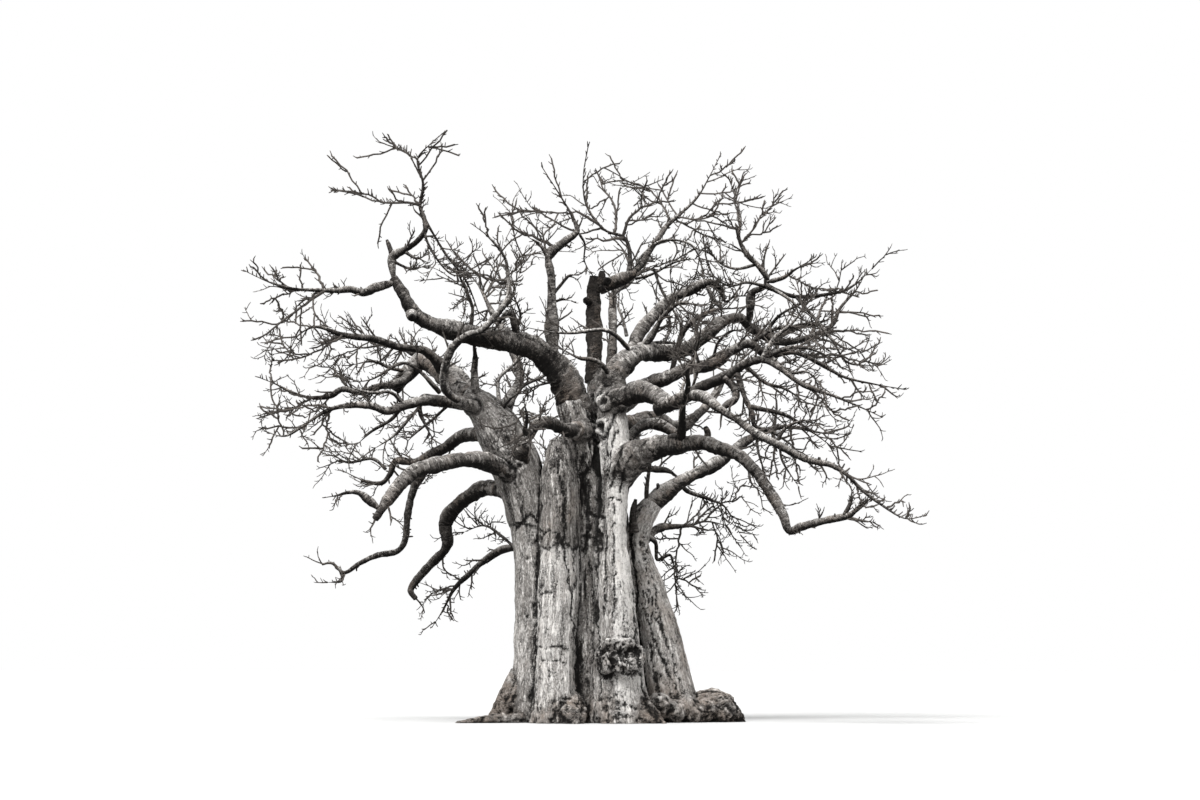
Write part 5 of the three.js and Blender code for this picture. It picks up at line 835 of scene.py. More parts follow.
def run_along(points):
    return np.concatenate([[0], np.cumsum(np.linalg.norm(np.diff(points, axis=0), axis=1))])


def even_rings(line, spacing):
    """Parameters along a limb's own curve at a ring spacing."""
    curve = line["curve"]
    start = np.interp(line["first"], curve.table, curve.run)
    count = max(6, int((curve.length - start) / spacing))
    return np.interp(np.linspace(start, curve.length, count + 1), curve.run, curve.table)


def radius_at(bough, line, t):
    root, last = bough["radius"]
    on_bough = root + (last - root) * np.clip((t - line["first"]) / (line["tip"] - line["first"]), 0, 1)
    if "mass" not in bough:
        return on_bough
    past = np.clip((t - line["tip"]) / max(1 - line["tip"], 1e-6), 0, 1)
    return np.where(t > line["tip"], last * (1 - past) ** 0.9, on_bough)


def bark_tube(bundle, path, radii, sides, seed, relief, tone, blunt=0.0):
    """A limb with lumps, long folds, cross wrinkles and knots standing on its round section."""
    frames = frames_along(path)
    run = run_along(path)
    rings = len(path)
    angle = np.arange(sides) * 2 * np.pi / sides
    cos, sin = np.cos(angle), np.sin(angle)
    wide = np.maximum(radii, 0.03)[:, None]
    pattern = np.stack([np.broadcast_to(cos, (rings, sides)) * wide, np.broadcast_to(sin, (rings, sides)) * wide,
                        np.broadcast_to(run[:, None], (rings, sides))], -1).reshape(-1, 3)
    pattern = pattern + np.array([seed * 3.7 % 19, seed * 1.3 % 17, seed * 2.9 % 23])
    lumps = fractal(pattern * [2.2, 2.2, 1.1], 3, 1).reshape(rings, sides)
    folds = fractal(pattern * [9.0, 9.0, 1.6], 4, 2).reshape(rings, sides)
    wrinkles = fractal(pattern * [1.6, 1.6, 6.5], 3, 3).reshape(rings, sides)
    swells = fractal(np.stack([run * 0.9, run * 0, run * 0], 1), 3, seed)[:, None]
    rib = 1 - smoothstep(0.0, 0.16, np.abs(wrinkles))
    height = 0.24 * lumps + 0.12 * folds + 0.10 * wrinkles - 0.05 * rib + 0.22 * swells
    # Painted shade: darker in the troughs of lumps and folds, in the grooves of the wrinkles, and on the undersides,
    # which face away from the light above.
    rise = frames["side"][:, None, 2] * cos + frames["across"][:, None, 2] * sin
    crease = (smoothstep(0.05, 0.6, -folds) * 0.4 + rib * 0.45 + smoothstep(0.1, 0.6, -lumps) * 0.25
              + smoothstep(0.1, -0.85, rise) * 0.85)
    draw = Draw(seed_of(seed, 7))
    at = draw.between(0.3, 1.2)
    while at < run[-1] - 0.15:
        turn = draw.between(0, 2 * math.pi)
        size = draw.between(0.3, 0.55)
        nearest = np.interp(at, run, radii)
        away = np.hypot((run[:, None] - at) / nearest, np.angle(np.exp(1j * (angle[None, :] - turn)))) / size
        hole = bump_at(away, 0.4)
        height = height + 0.45 * size * (np.exp(-away ** 2) - hole)
        # Painted shade in the knot's hole.
        crease = crease + 0.7 * hole
        at += draw.between(0.6, 2.0)
    radius = radii[:, None] * (1 + relief * height)
    points = (path[:, None] + frames["side"][:, None] * (radius * cos)[..., None]
              + frames["across"][:, None] * (radius * sin)[..., None]).reshape(-1, 3)
    tip = path[-1] + frames["along"][-1] * radii[-1] * (0.4 - blunt)
    corners = np.vstack([points, path[:1], tip[None]])
    quads, tris = ring_faces(rings, sides)
    # Painted light: the upper side of a limb, and the tops of its lumps, are paler.
    shade = (np.asarray(tone, float).reshape(-1, 1) + 0.38 * rise + 0.24 * lumps).ravel()
    # Painted shade on a blunt, cut end and at its middle.
    crease[-1] += 0.5 * (blunt > 0)
    crease = np.clip(crease, 0, 1).ravel()
    bundle.add(corners, quads, tris, tone=np.append(shade, [shade[0], shade[-1]]),
               crease=np.append(crease, [0, 0.9 if blunt else 0.3]),
               rough=np.full(len(corners), BOUGH_COAT[0]), warm=np.full(len(corners), BOUGH_COAT[1]),
               run=np.vstack([pattern, pattern[:1], pattern[-1:]]))


# ---------------------------------------------------------------- materials

class Channel:
    """One output of a shader node, so that shader maths reads as plain expressions."""

    def __init__(self, finish, socket):
        self.finish, self.socket = finish, socket

    def _maths(self, operation, one, two):
        return self.finish.node("ShaderNodeMath", {"operation": operation}, {0: one, 1: two})

    def __add__(self, other):
        return self._maths("ADD", self, other)

    def __radd__(self, other):
        return self._maths("ADD", other, self)

    def __sub__(self, other):
        return self._maths("SUBTRACT", self, other)

    def __rsub__(self, other):
        return self._maths("SUBTRACT", other, self)

    def __mul__(self, other):
        return self._maths("MULTIPLY", self, other)

    def __rmul__(self, other):
        return self._maths("MULTIPLY", other, self)

    def __abs__(self):
        return self._maths("ABSOLUTE", self, 0.0)


class Finish:
    """A procedural material under construction."""

    def __init__(self, name):
        self.material = bpy.data.materials.new(name)
        self.material.use_nodes = True
        self.tree = self.material.node_tree
        self.tree.nodes.clear()

    def node(self, kind, settings=None, inputs=None, output=0):
        made = self.tree.nodes.new(kind)
        for key, value in (settings or {}).items():
            setattr(made, key, value)
        for key, value in (inputs or {}).items():
            if isinstance(value, Channel):
                self.tree.links.new(value.socket, made.inputs[key])
            else:
                made.inputs[key].default_value = value
        return Channel(self, made.outputs[output]) if made.outputs else None

    def attribute(self, name, output="Fac"):
        return self.node("ShaderNodeAttribute", {"attribute_name": name}, output=output)

    def place(self, vector, scale):
        return self.node("ShaderNodeMapping", {}, {"Vector": vector, "Scale": scale})

    def noise(self, vector, scale, detail=6.0, roughness=0.6):
        return self.node("ShaderNodeTexNoise", {}, {"Vector": vector, "Scale": scale, "Detail": detail,
                                                    "Roughness": roughness})

    def clamp(self, value, low=0.0, high=1.0):
        return self.node("ShaderNodeMapRange", {"interpolation_type": "SMOOTHSTEP"},
                         {"Value": value, "From Min": low, "From Max": high})

    def mix(self, factor, one, two):
        return self.node("ShaderNodeMix", {"data_type": "RGBA"}, {0: factor, 6: one, 7: two}, output=2)

    def finish(self, colour, roughness, height, depth, strength, **constants):
        bump = self.node("ShaderNodeBump", {}, {"Strength": strength, "Distance": depth, "Height": height})
        shader = self.node("ShaderNodeBsdfPrincipled", {}, {"Base Color": colour, "Roughness": roughness,
                                                            "Normal": bump, **constants})
        self.node("ShaderNodeOutputMaterial", {}, {"Surface": shader})
        return self.material


def bark_finish(name, settings, stretch, fine, depth):
    """Grey bark: a pale face with painted light where it faces up, over folds darkened with painted shade, and fine
    grain that follows each stem or limb.
    """
    f = Finish(name)
    pale, middle, dark, brown = (tuple(c) for c in (settings.pale, settings.middle, settings.dark, settings.brown))
    run = f.attribute("run", "Vector")
    tone, crease, rough, warm = (f.attribute(key) for key in ("tone", "crease", "rough", "warm"))
    streak = f.noise(f.place(run, stretch), 3.4, 9.0, 0.68)
    grain = f.noise(f.place(run, fine), 8.0, 6.0, 0.72)
    blotch = f.noise(run, 1.1, 4.0, 0.6)
    pits = f.noise(run, 17.0, 4.0, 0.6)
    fissure = 1 - f.clamp(abs(streak - 0.5), 0.0, 0.045)
    check = 1 - f.clamp(abs(grain - 0.5), 0.0, 0.06)
    light = tone + (streak - 0.5) * (0.6 + rough * 0.6) + (blotch - 0.5) * 0.5 + (grain - 0.5) * 1.5
    base = f.mix(f.clamp(light, 0.05, 0.6), dark, middle)
    base = f.mix(f.clamp(light, 0.45, 1.0), base, pale)
    base = f.mix(f.clamp(blotch + (grain - 0.5) * 0.5 + (warm - 0.5) * 0.3, 0.5, 0.75) * 0.6, base, brown)
    marks = fissure * (rough * 0.4) + check * 0.34 + (0.47 - pits) * 1.8
    # Painted shade: crease, which holds shade painted into creases, hollows and undersides and the burl's own specks,
    # darkens the bark towards near black, together with the bark's own fissures, checks and pits.
    shade = f.clamp(crease * (0.65 + grain * 0.7) + marks, 0.12, 1.0)
    colour = f.mix(shade * 0.97, base, (0.003, 0.0025, 0.0022, 1))
    height = streak * 0.5 + grain * 0.35 + pits * 0.25 - fissure * 0.25 - check * 0.12
    return f.finish(colour, 0.86 + (grain - 0.5) * 0.1, height, depth, 1.0, **{"Specular IOR Level": 0.1})


def twig_finish(name, pale, dark):
    """Thin dark bark, a little paler on some twigs than on others."""
    f = Finish(name)
    place = f.node("ShaderNodeTexCoord", output="Object")
    tone = f.attribute("tone")
    fleck = f.noise(place, 9.0, 5.0, 0.65)
    patch = f.noise(place, 0.9, 3.0, 0.5)
    colour = f.mix(f.clamp(tone + (fleck - 0.5) * 0.9 + (patch - 0.5) * 0.6, 0.0, 1.0), dark, pale)
    return f.finish(colour, 0.84 + (fleck - 0.5) * 0.1, fleck, 0.01, 0.5, **{"Specular IOR Level": 0.08})


# ---------------------------------------------------------------- pieces

def settle(obj, material, nodes):
    """Gives a finished piece its bark, hides the solid parts that it takes the place of, and hangs it on the root's
    frame.
    """
    obj.data.materials.clear()
    obj.data.materials.append(material)
    if nodes:
        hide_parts(*nodes)
    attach(obj, "root")


def new_object(name, mesh):
    obj = bpy.data.objects.new(name, mesh)
    bpy.context.scene.collection.objects.link(obj)
    return obj


def only(obj):
    bpy.ops.object.select_all(action="DESELECT")
    obj.select_set(True)
    bpy.context.view_layer.objects.active = obj


def apply_modifier(obj, kind, **settings):
    only(obj)
    modifier = obj.modifiers.new(kind.lower(), kind)
    for key, value in settings.items():
        setattr(modifier, key, value)
    bpy.ops.object.modifier_apply(modifier=modifier.name)


CHUNK = 20000  # corners that are measured at once
PATTERN_SHIFT = np.array([5.3, 3.1, 7.7])  # sets each stem's pattern apart from the next one's
COLLAR_STRETCH = [0.5, 0.5, 4.0]  # turns the trunk's long folds into a bough's rings on its collar
ROOT_STRETCH = [0.6, 0.6, 3.0]


def collar_reach(bough, tree):
    """How far along its route a bough's collar reaches out of what carries it."""
    line = tree["lines"][bough["name"]]
    return line["tip"] * min(1, tree["collars"][bough["name"]] / line["rings"] * 1.15)


def stem_axes(tree):
    """Fine samples of the axis of every trunk stem, root and collar, for the pattern that follows it."""
    axes = []
    for name, route in {**STEMS, **ROOTS}.items():
        path = sunk(route) if name in STEMS else route
        points, radii = sampled_stem(path, FINE_STEP)
        axes.append((STEM_TONES[name], points, radii))
    for bough in BOUGHS:
        if bough.get("on") == "trunk":
            line = tree["lines"][bough["name"]]
            t = np.linspace(0, collar_reach(bough, tree) * 1.1, 20)
            tones = (BOUGH_TONE, BOUGH_TONE, 0, *BOUGH_COAT)
            axes.append((tones, line["curve"].at(t), radius_at(bough, line, t)))
    return [(tones, points, radii, frames_along(points), run_along(points)) for tones, points, radii in axes]


def follow_stems(corners, axes):
    """For each corner: which stem it belongs to, where it is on that stem's surface, and every stem's nearness."""
    best = np.full(len(corners), np.inf)
    owner = np.zeros(len(corners), int)
    pattern = np.zeros((len(corners), 3))
    gaps = np.empty((len(corners), len(axes)))
    for number, (_, points, radii, frames, along) in enumerate(axes):
        for start in range(0, len(corners), CHUNK):
            part = slice(start, start + CHUNK)
            away = np.linalg.norm(corners[part, None] - points[None], axis=2) - radii[None]
            i = away.argmin(1)
            least = away[np.arange(len(i)), i]
            gaps[part, number] = least
            better = least < best[part]
            offset = corners[part] - points[i]
            one, two = (offset * frames["side"][i]).sum(1), (offset * frames["across"][i]).sum(1)
            run = along[i] + (offset * frames["along"][i]).sum(1)
            own = np.stack([one, two, run], -1) + PATTERN_SHIFT * number
            if number >= len(STEMS) + len(ROOTS):
                own = own * COLLAR_STRETCH
            best[part] = np.where(better, least, best[part])
            owner[part] = np.where(better, number, owner[part])
            pattern[part] = np.where(better[:, None], own, pattern[part])
    return owner, pattern, gaps


# How pale each stem's bark is, low and high on it, the height where the old bark ends, how rough and how brown.
STEM_TONES = {
    "core": (0.3, 0.3, 0, 1.0, 0.5), "left": (0.6, 0.5, 5.55, 0.55, 0.2), "frontLeft": (0.72, 0.42, 4.9, 0.6, 0.4),
    "centre": (0.54, 0.46, 5.2, 0.9, 0.3), "frontRight": (0.92, 0.92, 0, 0.5, 0.2),
    "right": (0.62, 0.62, 0, 0.6, 0.7), "backLeft": (0.55, 0.42, 5.0, 0.9, 0.4), "backRight": (0.5, 0.5, 0, 0.9, 0.5),
    "leftFlare": (0.42, 0.42, 0, 1.0, 0.7), "leftRunner": (0.5, 0.5, 0, 1.0, 0.7),
    "rightMound": (0.5, 0.5, 0, 1.2, 0.8), "frontToe": (0.5, 0.5, 0, 1.0, 0.7), "rightToe": (0.42, 0.42, 0, 1.2, 0.8),
    "backToe": (0.45, 0.45, 0, 1.0, 0.6), "backRightToe": (0.45, 0.45, 0, 1.0, 0.6),
}
BOUGH_TONE = 0.31
BOUGH_COAT = (1.0, 0.5)

# Small limbs that belong to the old post in the middle, by their root, and how much darker it is than the rest.
POST = ([0.11, 9.6], [0.25, 12.2], [0.46, 12.48], [0.02, 11.9])
POST_SHADE = -0.36

# Hollows in the burl: [across, height, half width, half height, depth].
HOLLOWS = [
    [0.93, 1.96, 0.33, 0.12, 0.2], [0.63, 1.62, 0.05, 0.24, 0.13], [0.95, 1.6, 0.05, 0.2, 0.13],
    [0.46, 1.27, 0.2, 0.06, 0.07], [1.2, 1.36, 0.26, 0.05, 0.07], [0.35, 1.95, 0.06, 0.12, 0.08],
    [1.9, 1.05, 0.1, 0.3, 0.06],
]

# Marks on the front of the trunk, as [across, height]: cracks with their half width and depth, and ringed
# knots with their size and strength.
CRACKS = [
    (0.035, 0.05, "-2.14 5.4, -1.95 5.55, -1.7 5.83, -1.5 5.6, -1.4 5.45, -1.3 5.25"),
    (0.05, 0.07, "-1.37 8.1, -1.4 6.9, -1.42 5.6, -1.48 3.5, -1.52 1.8, -1.63 .3"),
    (0.03, 0.05, "-1.38 3.55, -1.3 3.62, -1.05 3.62"),
    (0.07, 0.1, ".15 7.9, .05 7.2, -.2 6.9, -.1 6.2, 0 5.4, -.2 4.8"),
    (0.03, 0.04, ".22 5.3, .22 4.6, .2 3.4, .25 2.2, .3 .6"),
    (0.025, 0.03, "-.45 4.6, -.4 3.8, -.5 3, -.35 2.2, -.4 1.2, -.3 .4"),
    (0.045, 0.07, "1.1 5.9, 1.12 5, 1.25 4.2, 1.3 3.4, 1.32 2.3, 1.45 1.4, 1.6 .5"),
    (0.02, 0.025, "1.75 4.1, 1.9 3.3, 2.1 2.4, 2.4 1.4"),
    (0.02, 0.02, "-1.5 2.1, -1.2 2.05, -.9 2.12, -.6 2"),
    (0.02, 0.02, "-1.5 1.75, -1.2 1.68, -.9 1.7, -.65 1.62"),
    (0.15, 0.14, ".3 8.05, .42 7.3, .36 6.5, .3 5.7, .27 4.9"),
    (0.03, 0.05, ".8 8.2, .6 7.7, .5 7.1"),
    (0.03, 0.05, ".95 7.7, .72 7.2, .6 6.6"),
    (0.03, 0.05, ".72 8.7, .5 8, .42 7.5"),
    (0.03, 0.05, "1.2 7.5, .95 7, .85 6.4"),
    (0.03, 0.06, ".56 6.3, .72 6.27, .9 6.2"),
    (0.04, 0.06, ".02 5.85, .2 5.75, .35 5.72"),
    (0.035, 0.05, "-.95 7.3, -.75 6.3, -.7 5.5, -.8 4.9"),
    (0.018, 0.025, "1.55 4.4, 1.7 3.6, 1.95 2.8, 2.25 1.9, 2.6 .9"),
    (0.018, 0.025, "1.5 3.6, 1.75 2.6, 2.05 1.7"),
    (0.025, 0.04, "1.7 2.2, 1.75 1.5, 1.95 .7"),
    (0.022, 0.03, ".64 6.3, .68 5.4, .7 4.2, .68 3.2, .65 2.6"),
    (0.02, 0.02, ".4 5.9, .42 5, .45 4, .42 2.9"),
    (0.02, 0.03, "1.35 4, 1.62 3.5, 1.8 2.9, 2.1 2.5"),
    (0.02, 0.03, "1.45 3.3, 1.8 2.3, 2 1.8, 2.45 .9"),
    (0.025, 0.03, "-1.35 5.15, -1.2 5.35, -.95 5.3, -.78 5, -.68 4.5, -.55 3.9"),
    (0.025, 0.03, "-.95 5.15, -.75 4.9, -.6 4.3, -.5 3.6"),
]
KNOTS = [
    (0.34, 8.31, 0.2, 1.0), (0.43, 9.03, 0.17, 1.0), (0.12, 8.62, 0.13, 0.6), (-1.75, 4.6, 0.14, 0.3),
    (-1.8, 2.95, 0.12, 0.4), (0.55, 3.05, 0.17, 0.3), (-1.0, 4.35, 0.1, 0.3), (1.5, 5.0, 0.14, 0.6),
    (1.55, 4.55, 0.12, 0.6), (-0.9, 6.2, 0.14, 0.25), (-1.2, 2.5, 0.08, 0.4), (1.1, 2.75, 0.12, 0.3),
    (-0.75, 0.5, 0.13, 0.5), (-1.05, 1.35, 0.08, 0.5), (0.72, 6.6, 0.1, 0.4), (-2.35, 7.9, 0.22, 0.4),
    (-2.0, 7.2, 0.16, 0.5),
]


def distance_to_line(across, height, line):
    """Distance on the front elevation from points to a broken line."""
    best = np.full(len(across), np.inf)
    for (ax, ah), (bx, bh) in zip(line[:-1], line[1:]):
        dx, dh = bx - ax, bh - ah
        t = np.clip(((across - ax) * dx + (height - ah) * dh) / (dx * dx + dh * dh), 0, 1)
        best = np.minimum(best, np.hypot(across - ax - t * dx, height - ah - t * dh))
    return best


# Noise on the trunk along each stem, as scale, octaves and shift: broad swells, folds, fine folds, wrinkles across,
# and the sway of the step where old bark ends.
BARK_NOISE = [([1.5, 1.5, 0.28], 3, 1), ([4.5, 4.5, 0.55], 4, 2), ([13.0, 13.0, 1.8], 4, 3),
              ([2.0, 2.0, 9.0], 3, 5), ([2.0, 2.0, 0.2], 2, 6)]
BLEND = 0.07  # how softly the colours of neighbouring stems run into one another


def trunk_relief(corners, normals, tree):
    """How far each corner of the trunk moves along its normal, and the values its bark reads."""
    axes = stem_axes(tree)
    owner, pattern, gaps = follow_stems(corners, axes)
    across, height = elevation_of(corners)
    tones = np.array([a[0] for a in axes])
    low, high, step, coarse = (tones[owner, k] for k in range(4))
    broad, folds, fine, cross, sway = (fractal(pattern * scale, *rest) for scale, *rest in BARK_NOISE)
    lumps = fractal(corners * 1.7, 3, 4)
    # Above a wavering height the bark is old: thicker, rougher and ending in a step, with shade painted along it.
    above = height - (step + 0.16 * sway)
    stepped = np.abs(high - low) > 0.05
    old = smoothstep(-0.05, 0.05, above) * stepped
    rough = coarse * (1 + 0.3 * old)
    ridge = 1 - np.abs(folds) * 2.2
    move = (0.05 * broad + rough * (0.032 * folds + 0.016 * fine) + 0.03 * lumps + 0.012 * cross * (1 - old)
            + 0.04 * old)
    # Painted shade in the troughs of the folds and fine folds.
    crease = smoothstep(0.0, 0.5, -folds) * 0.55 * rough + smoothstep(0.05, 0.5, -fine) * 0.5 * rough
    crease += bump_at(above, 0.04) * stepped * 0.7
    front = smoothstep(0.25, -0.25, normals[:, 1])
    waver = 0.06 * fractal(corners * 3.0, 2, 7) + 0.045 * fractal(corners * [11.0, 11.0, 6.0], 2, 12)
    uneven = 1 + 0.8 * fractal(corners * [1.0, 1.0, 1.9], 3, 13)
    # Each crack is cut into the bark, with shade painted along its groove.
    for half_width, depth, line in CRACKS:
        off = distance_to_line(across + waver, height, route_of(line)) / (half_width * np.maximum(uneven, 0.25))
        near = np.exp(-off ** 2) * front
        move -= depth * near
        crease += near * min(0.9, 0.05 / half_width)
    stray = 0.5 * fractal(corners * 3.3 + 20, 2, 11)
    # Each knot is ringed and hollow, with shade painted into its hole and grooves.
    for at, up, size, strength in KNOTS:
        away = np.hypot(across - at + waver, (height - up) * 0.85) / size * (1 + stray)
        ring = bump_at(away - 0.75, 0.25) * front
        hole = bump_at(away, 0.4) * front
        groove = (bump_at(away - 1.2, 0.15) + bump_at(away - 0.42, 0.1)) * front
        swell = np.exp(-away ** 2) * front
        move += strength * size * (0.4 * ring + 0.2 * swell - 0.6 * hole - 0.12 * groove)
        crease += strength * (0.9 * hole + 0.55 * groove)
    # The colours of the stems, blended, and the pale strip down the front right one.
    weights = np.exp(-(gaps - gaps.min(1, keepdims=True)) / BLEND)
    ages = tones[None, :, 0] + (tones[None, :, 1] - tones[None, :, 0]) * old[:, None]
    tone = (weights * ages).sum(1) / weights.sum(1)
    warm = (weights * tones[:, 4]).sum(1) / weights.sum(1)
    tone -= 0.4 * smoothstep(7.6, 9.0, corners[:, 2]) * smoothstep(0.55, 0.8, tone)
    strip = weights[:, list(STEMS).index("frontRight")] / weights.sum(1) * smoothstep(7.0, 6.0, height)
    tone -= strip * (0.3 * smoothstep(0.74, 0.6, across + 0.5 * waver) + 0.12 * smoothstep(1.02, 1.15, across))
    # The burl is pitted and brown, with hollows. Shade is painted into its pits and hollows and onto its upward
    # faces, to hold back the light from above; its dark specks are its own.
    reach = np.array(BURL["half"]) * BURL["reach"]
    burl = np.exp(-np.linalg.norm((corners - place(BURL["at"])) / reach, axis=1) ** 6)
    wounds = fractal(corners * [9.5, 9.5, 8.0], 4, 8)
    move += burl * 0.09 * wounds
    specks = fractal(corners * 15.0, 2, 14)
    crease += burl * (smoothstep(0.0, -0.3, wounds) * 0.7 + smoothstep(0.1, 0.8, normals[:, 2]) * 0.2
                      + smoothstep(-0.05, 0.3, specks) * 0.35 - 0.08)
    tone = tone * (1 - 0.28 * burl) + 0.04 * ridge
    rough = rough + 0.8 * burl
    warm = warm + 0.6 * burl
    for at, up, half_width, half_height, depth in HOLLOWS:
        off = np.hypot((across - at + 2 * waver) / half_width, (height - up + 1.5 * waver) / half_height)
        near = np.exp(-off ** 3) * front
        move -= depth * near
        crease += near * (0.5 + 0.8 * smoothstep(0.1, -0.2, wounds))
    # Bark stands up where two stems meet, with shade painted in the seam between them, and the foot is knobbly and
    # brown, with shade painted in its troughs, and darker towards the ground.
    nearest = np.sort(gaps[:, :len(STEMS)], 1)
    groove = bump_at(nearest[:, 1] - nearest[:, 0], 0.1) * smoothstep(0.35, 0.1, nearest[:, 0])
    move += 0.04 * groove
    crease += 0.28 * groove
    foot = smoothstep(1.3, 0.1, corners[:, 2])
    gnarl = fractal(corners * [5.5, 5.5, 6.0], 4, 10)
    mound = smoothstep(0.3, 0.0, gaps[:, [*STEMS, *ROOTS].index("rightMound")])
    move += foot * (0.06 + 0.06 * mound) * gnarl
    crease += foot * smoothstep(0.0, -0.35, gnarl) * 0.45 + smoothstep(0.3, 0.0, corners[:, 2]) * 0.12
    # Painted light: faces that look up are paler; the foot is darker towards the ground.
    tone = tone + 0.10 * normals[:, 2] - 0.16 * foot
    warm = warm + 0.5 * foot
    rooted = (owner >= len(STEMS)) & (owner < len(STEMS) + len(ROOTS))
    pattern = np.where(rooted[:, None], corners * ROOT_STRETCH, pattern)
    return move, {"tone": tone, "crease": crease, "run": pattern, "rough": rough, "warm": warm}


def hollowness(mesh, rounds):
    """How deep each corner lies below its surroundings, in their usual depth: pits above 0, ridges below."""
    corners, normals = corners_of(mesh, "co"), corners_of(mesh, "normal")
    edges = np.empty(len(mesh.edges) * 2, np.int32)
    mesh.edges.foreach_get("vertices", edges)
    one, two = edges.reshape(-1, 2).T
    one, two = np.concatenate([one, two]), np.concatenate([two, one])
    count = np.bincount(one, minlength=len(corners))[:, None]
    even = corners.copy()
    for _ in range(rounds):
        sums = np.stack([np.bincount(one, even[two, k], len(corners)) for k in range(3)], 1)
        even = 0.4 * even + 0.6 * sums / count
    depth = ((even - corners) * normals).sum(1)
    return depth / depth.std()


def corners_of(mesh, what):
    values = np.empty(len(mesh.vertices) * 3)
    mesh.vertices.foreach_get(what, values)
    return values.reshape(-1, 3)


def tube_solid(bundle, points, radii, sides):
    """A plain closed tube, which the bark's skin is drawn over."""
    frames = frames_along(points)
    angle = np.arange(sides) * 2 * np.pi / sides
    ring = (frames["side"][:, None] * np.cos(angle)[None, :, None]
            + frames["across"][:, None] * np.sin(angle)[None, :, None])
    corners = (points[:, None] + ring * np.asarray(radii)[:, None, None]).reshape(-1, 3)
    quads, tris = ring_faces(len(points), sides)
    bundle.add(np.vstack([corners, points[:1], points[-1:]]), quads, tris)


SKIN_RING_STEP = 0.25  # ring step of the plain stems that the skin is drawn over
STEM_SIDES, ROOT_SIDES = 28, 20
COLLAR_SWELL, COLLAR_END = 1.28, 0.9  # a collar's width against the bough's own, at its root and where it ends
SOLE = 0.002  # corners below this height lie on the flat cut


class BAOBAB_OT_trunk(bpy.types.Operator):
    """Draws one bark skin over the stems, roots, burl and collars, and folds it"""

    bl_idname = "baobab.trunk"
    bl_label = "Trunk bark"

    def execute(self, context):
        settings = context.scene.baobab_bark
        tree = whole_tree()
        bundle = Bundle()
        for name, route in STEMS.items():
            points, radii = sampled_stem(sunk(route), SKIN_RING_STEP)
            if name not in FLAT_TOPPED:
                points, radii = rounded_end(points, radii)
            tube_solid(bundle, points, radii, STEM_SIDES)
        for route in ROOTS.values():
            tube_solid(bundle, *rounded_end(*sampled_stem(route, FINE_STEP)), ROOT_SIDES)
        for bough in BOUGHS:
            if bough.get("on") != "trunk":
                continue
            line, reach = tree["lines"][bough["name"]], collar_reach(bough, tree)
            t = np.linspace(0, reach, 24)
            root = bough.get("collar", COLLAR_SWELL)
            swell = root + (COLLAR_END - root) * smoothstep(0.25, 1.0, t / reach)
            tube_solid(bundle, line["curve"].at(t), radius_at(bough, line, t) * swell, ROOT_SIDES)
        skin = new_object("trunk_bark", bundle.mesh("trunk_bark"))
        only(skin)
        bpy.ops.mesh.primitive_uv_sphere_add(segments=24, ring_count=16, location=place(BURL["at"]))
        lumps = [context.active_object]
        lumps[0].scale = BURL["half"]
        bpy.ops.object.transform_apply(location=True, rotation=True, scale=True)
        turns = np.arange(RIM["knobs"]) * 2 * math.pi / RIM["knobs"]
        (depth, farther), (radius, wider) = RIM["depth"], RIM["radius"]
        rim = [[BURL["at"][0] + RIM["half_width"] * math.cos(turn),
                BURL["at"][1] + RIM["half_height"] * math.sin(turn),
                depth + farther * abs(math.cos(turn)), radius + wider * math.sin(7 * turn)] for turn in turns]
        for knuckle in [*KNUCKLES, *LOBES, *rim]:
            bpy.ops.mesh.primitive_ico_sphere_add(subdivisions=3, radius=knuckle[3], location=place(knuckle))
            lumps.append(context.active_object)
            bpy.ops.object.transform_apply(location=True, rotation=True, scale=True)
        only(skin)
        for part in lumps:
            part.select_set(True)
        bpy.ops.object.join()
        apply_modifier(skin, "REMESH", mode="VOXEL", voxel_size=settings.skin_step)
        apply_modifier(skin, "SMOOTH", factor=0.5, iterations=3)
        only(skin)
        bpy.ops.object.mode_set(mode="EDIT")
        bpy.ops.mesh.select_all(action="SELECT")
        bpy.ops.mesh.bisect(plane_co=(0, 0, SOLE / 2), plane_no=(0, 0, 1), clear_inner=True, use_fill=True)
        bpy.ops.object.mode_set(mode="OBJECT")
        mesh = skin.data
        corners, normals = corners_of(mesh, "co"), corners_of(mesh, "normal")
        move, values = trunk_relief(corners, normals, tree)
        level = normals.copy()
        level[:, 2] *= smoothstep(0.0, 0.3, corners[:, 2])
        bottom = corners[:, 2] < SOLE
        shifted = corners + level * (move * settings.relief)[:, None]
        shifted[:, 2] = np.where(bottom, 0.0, np.maximum(shifted[:, 2], SOLE))
        mesh.vertices.foreach_set("co", shifted.astype(np.float32).ravel())
        mesh.update()
        # Painted shade in the pits and hollows of the folded skin, and painted light on its ridges.
        near, wide = hollowness(mesh, 4), hollowness(mesh, 40)
        inside = ~bottom
        values["crease"] += (0.5 * smoothstep(0.4, 2.2, near) + 0.3 * smoothstep(0.6, 2.6, wide)) * inside
        values["tone"] += (0.08 * smoothstep(0.3, 1.8, -near) + 0.08 * smoothstep(0.3, 1.8, -wide)) * inside
        for key, value in values.items():
            store(mesh, key, value if key == "run" else np.clip(value, 0, 1))
        only(skin)
        bpy.ops.object.shade_smooth()
        material = bark_finish("trunk_bark", settings, (3.0, 3.0, 0.4), (3.8, 3.8, 1.3), 0.05)
        settle(skin, material, ["trunk"])
        return {"FINISHED"}


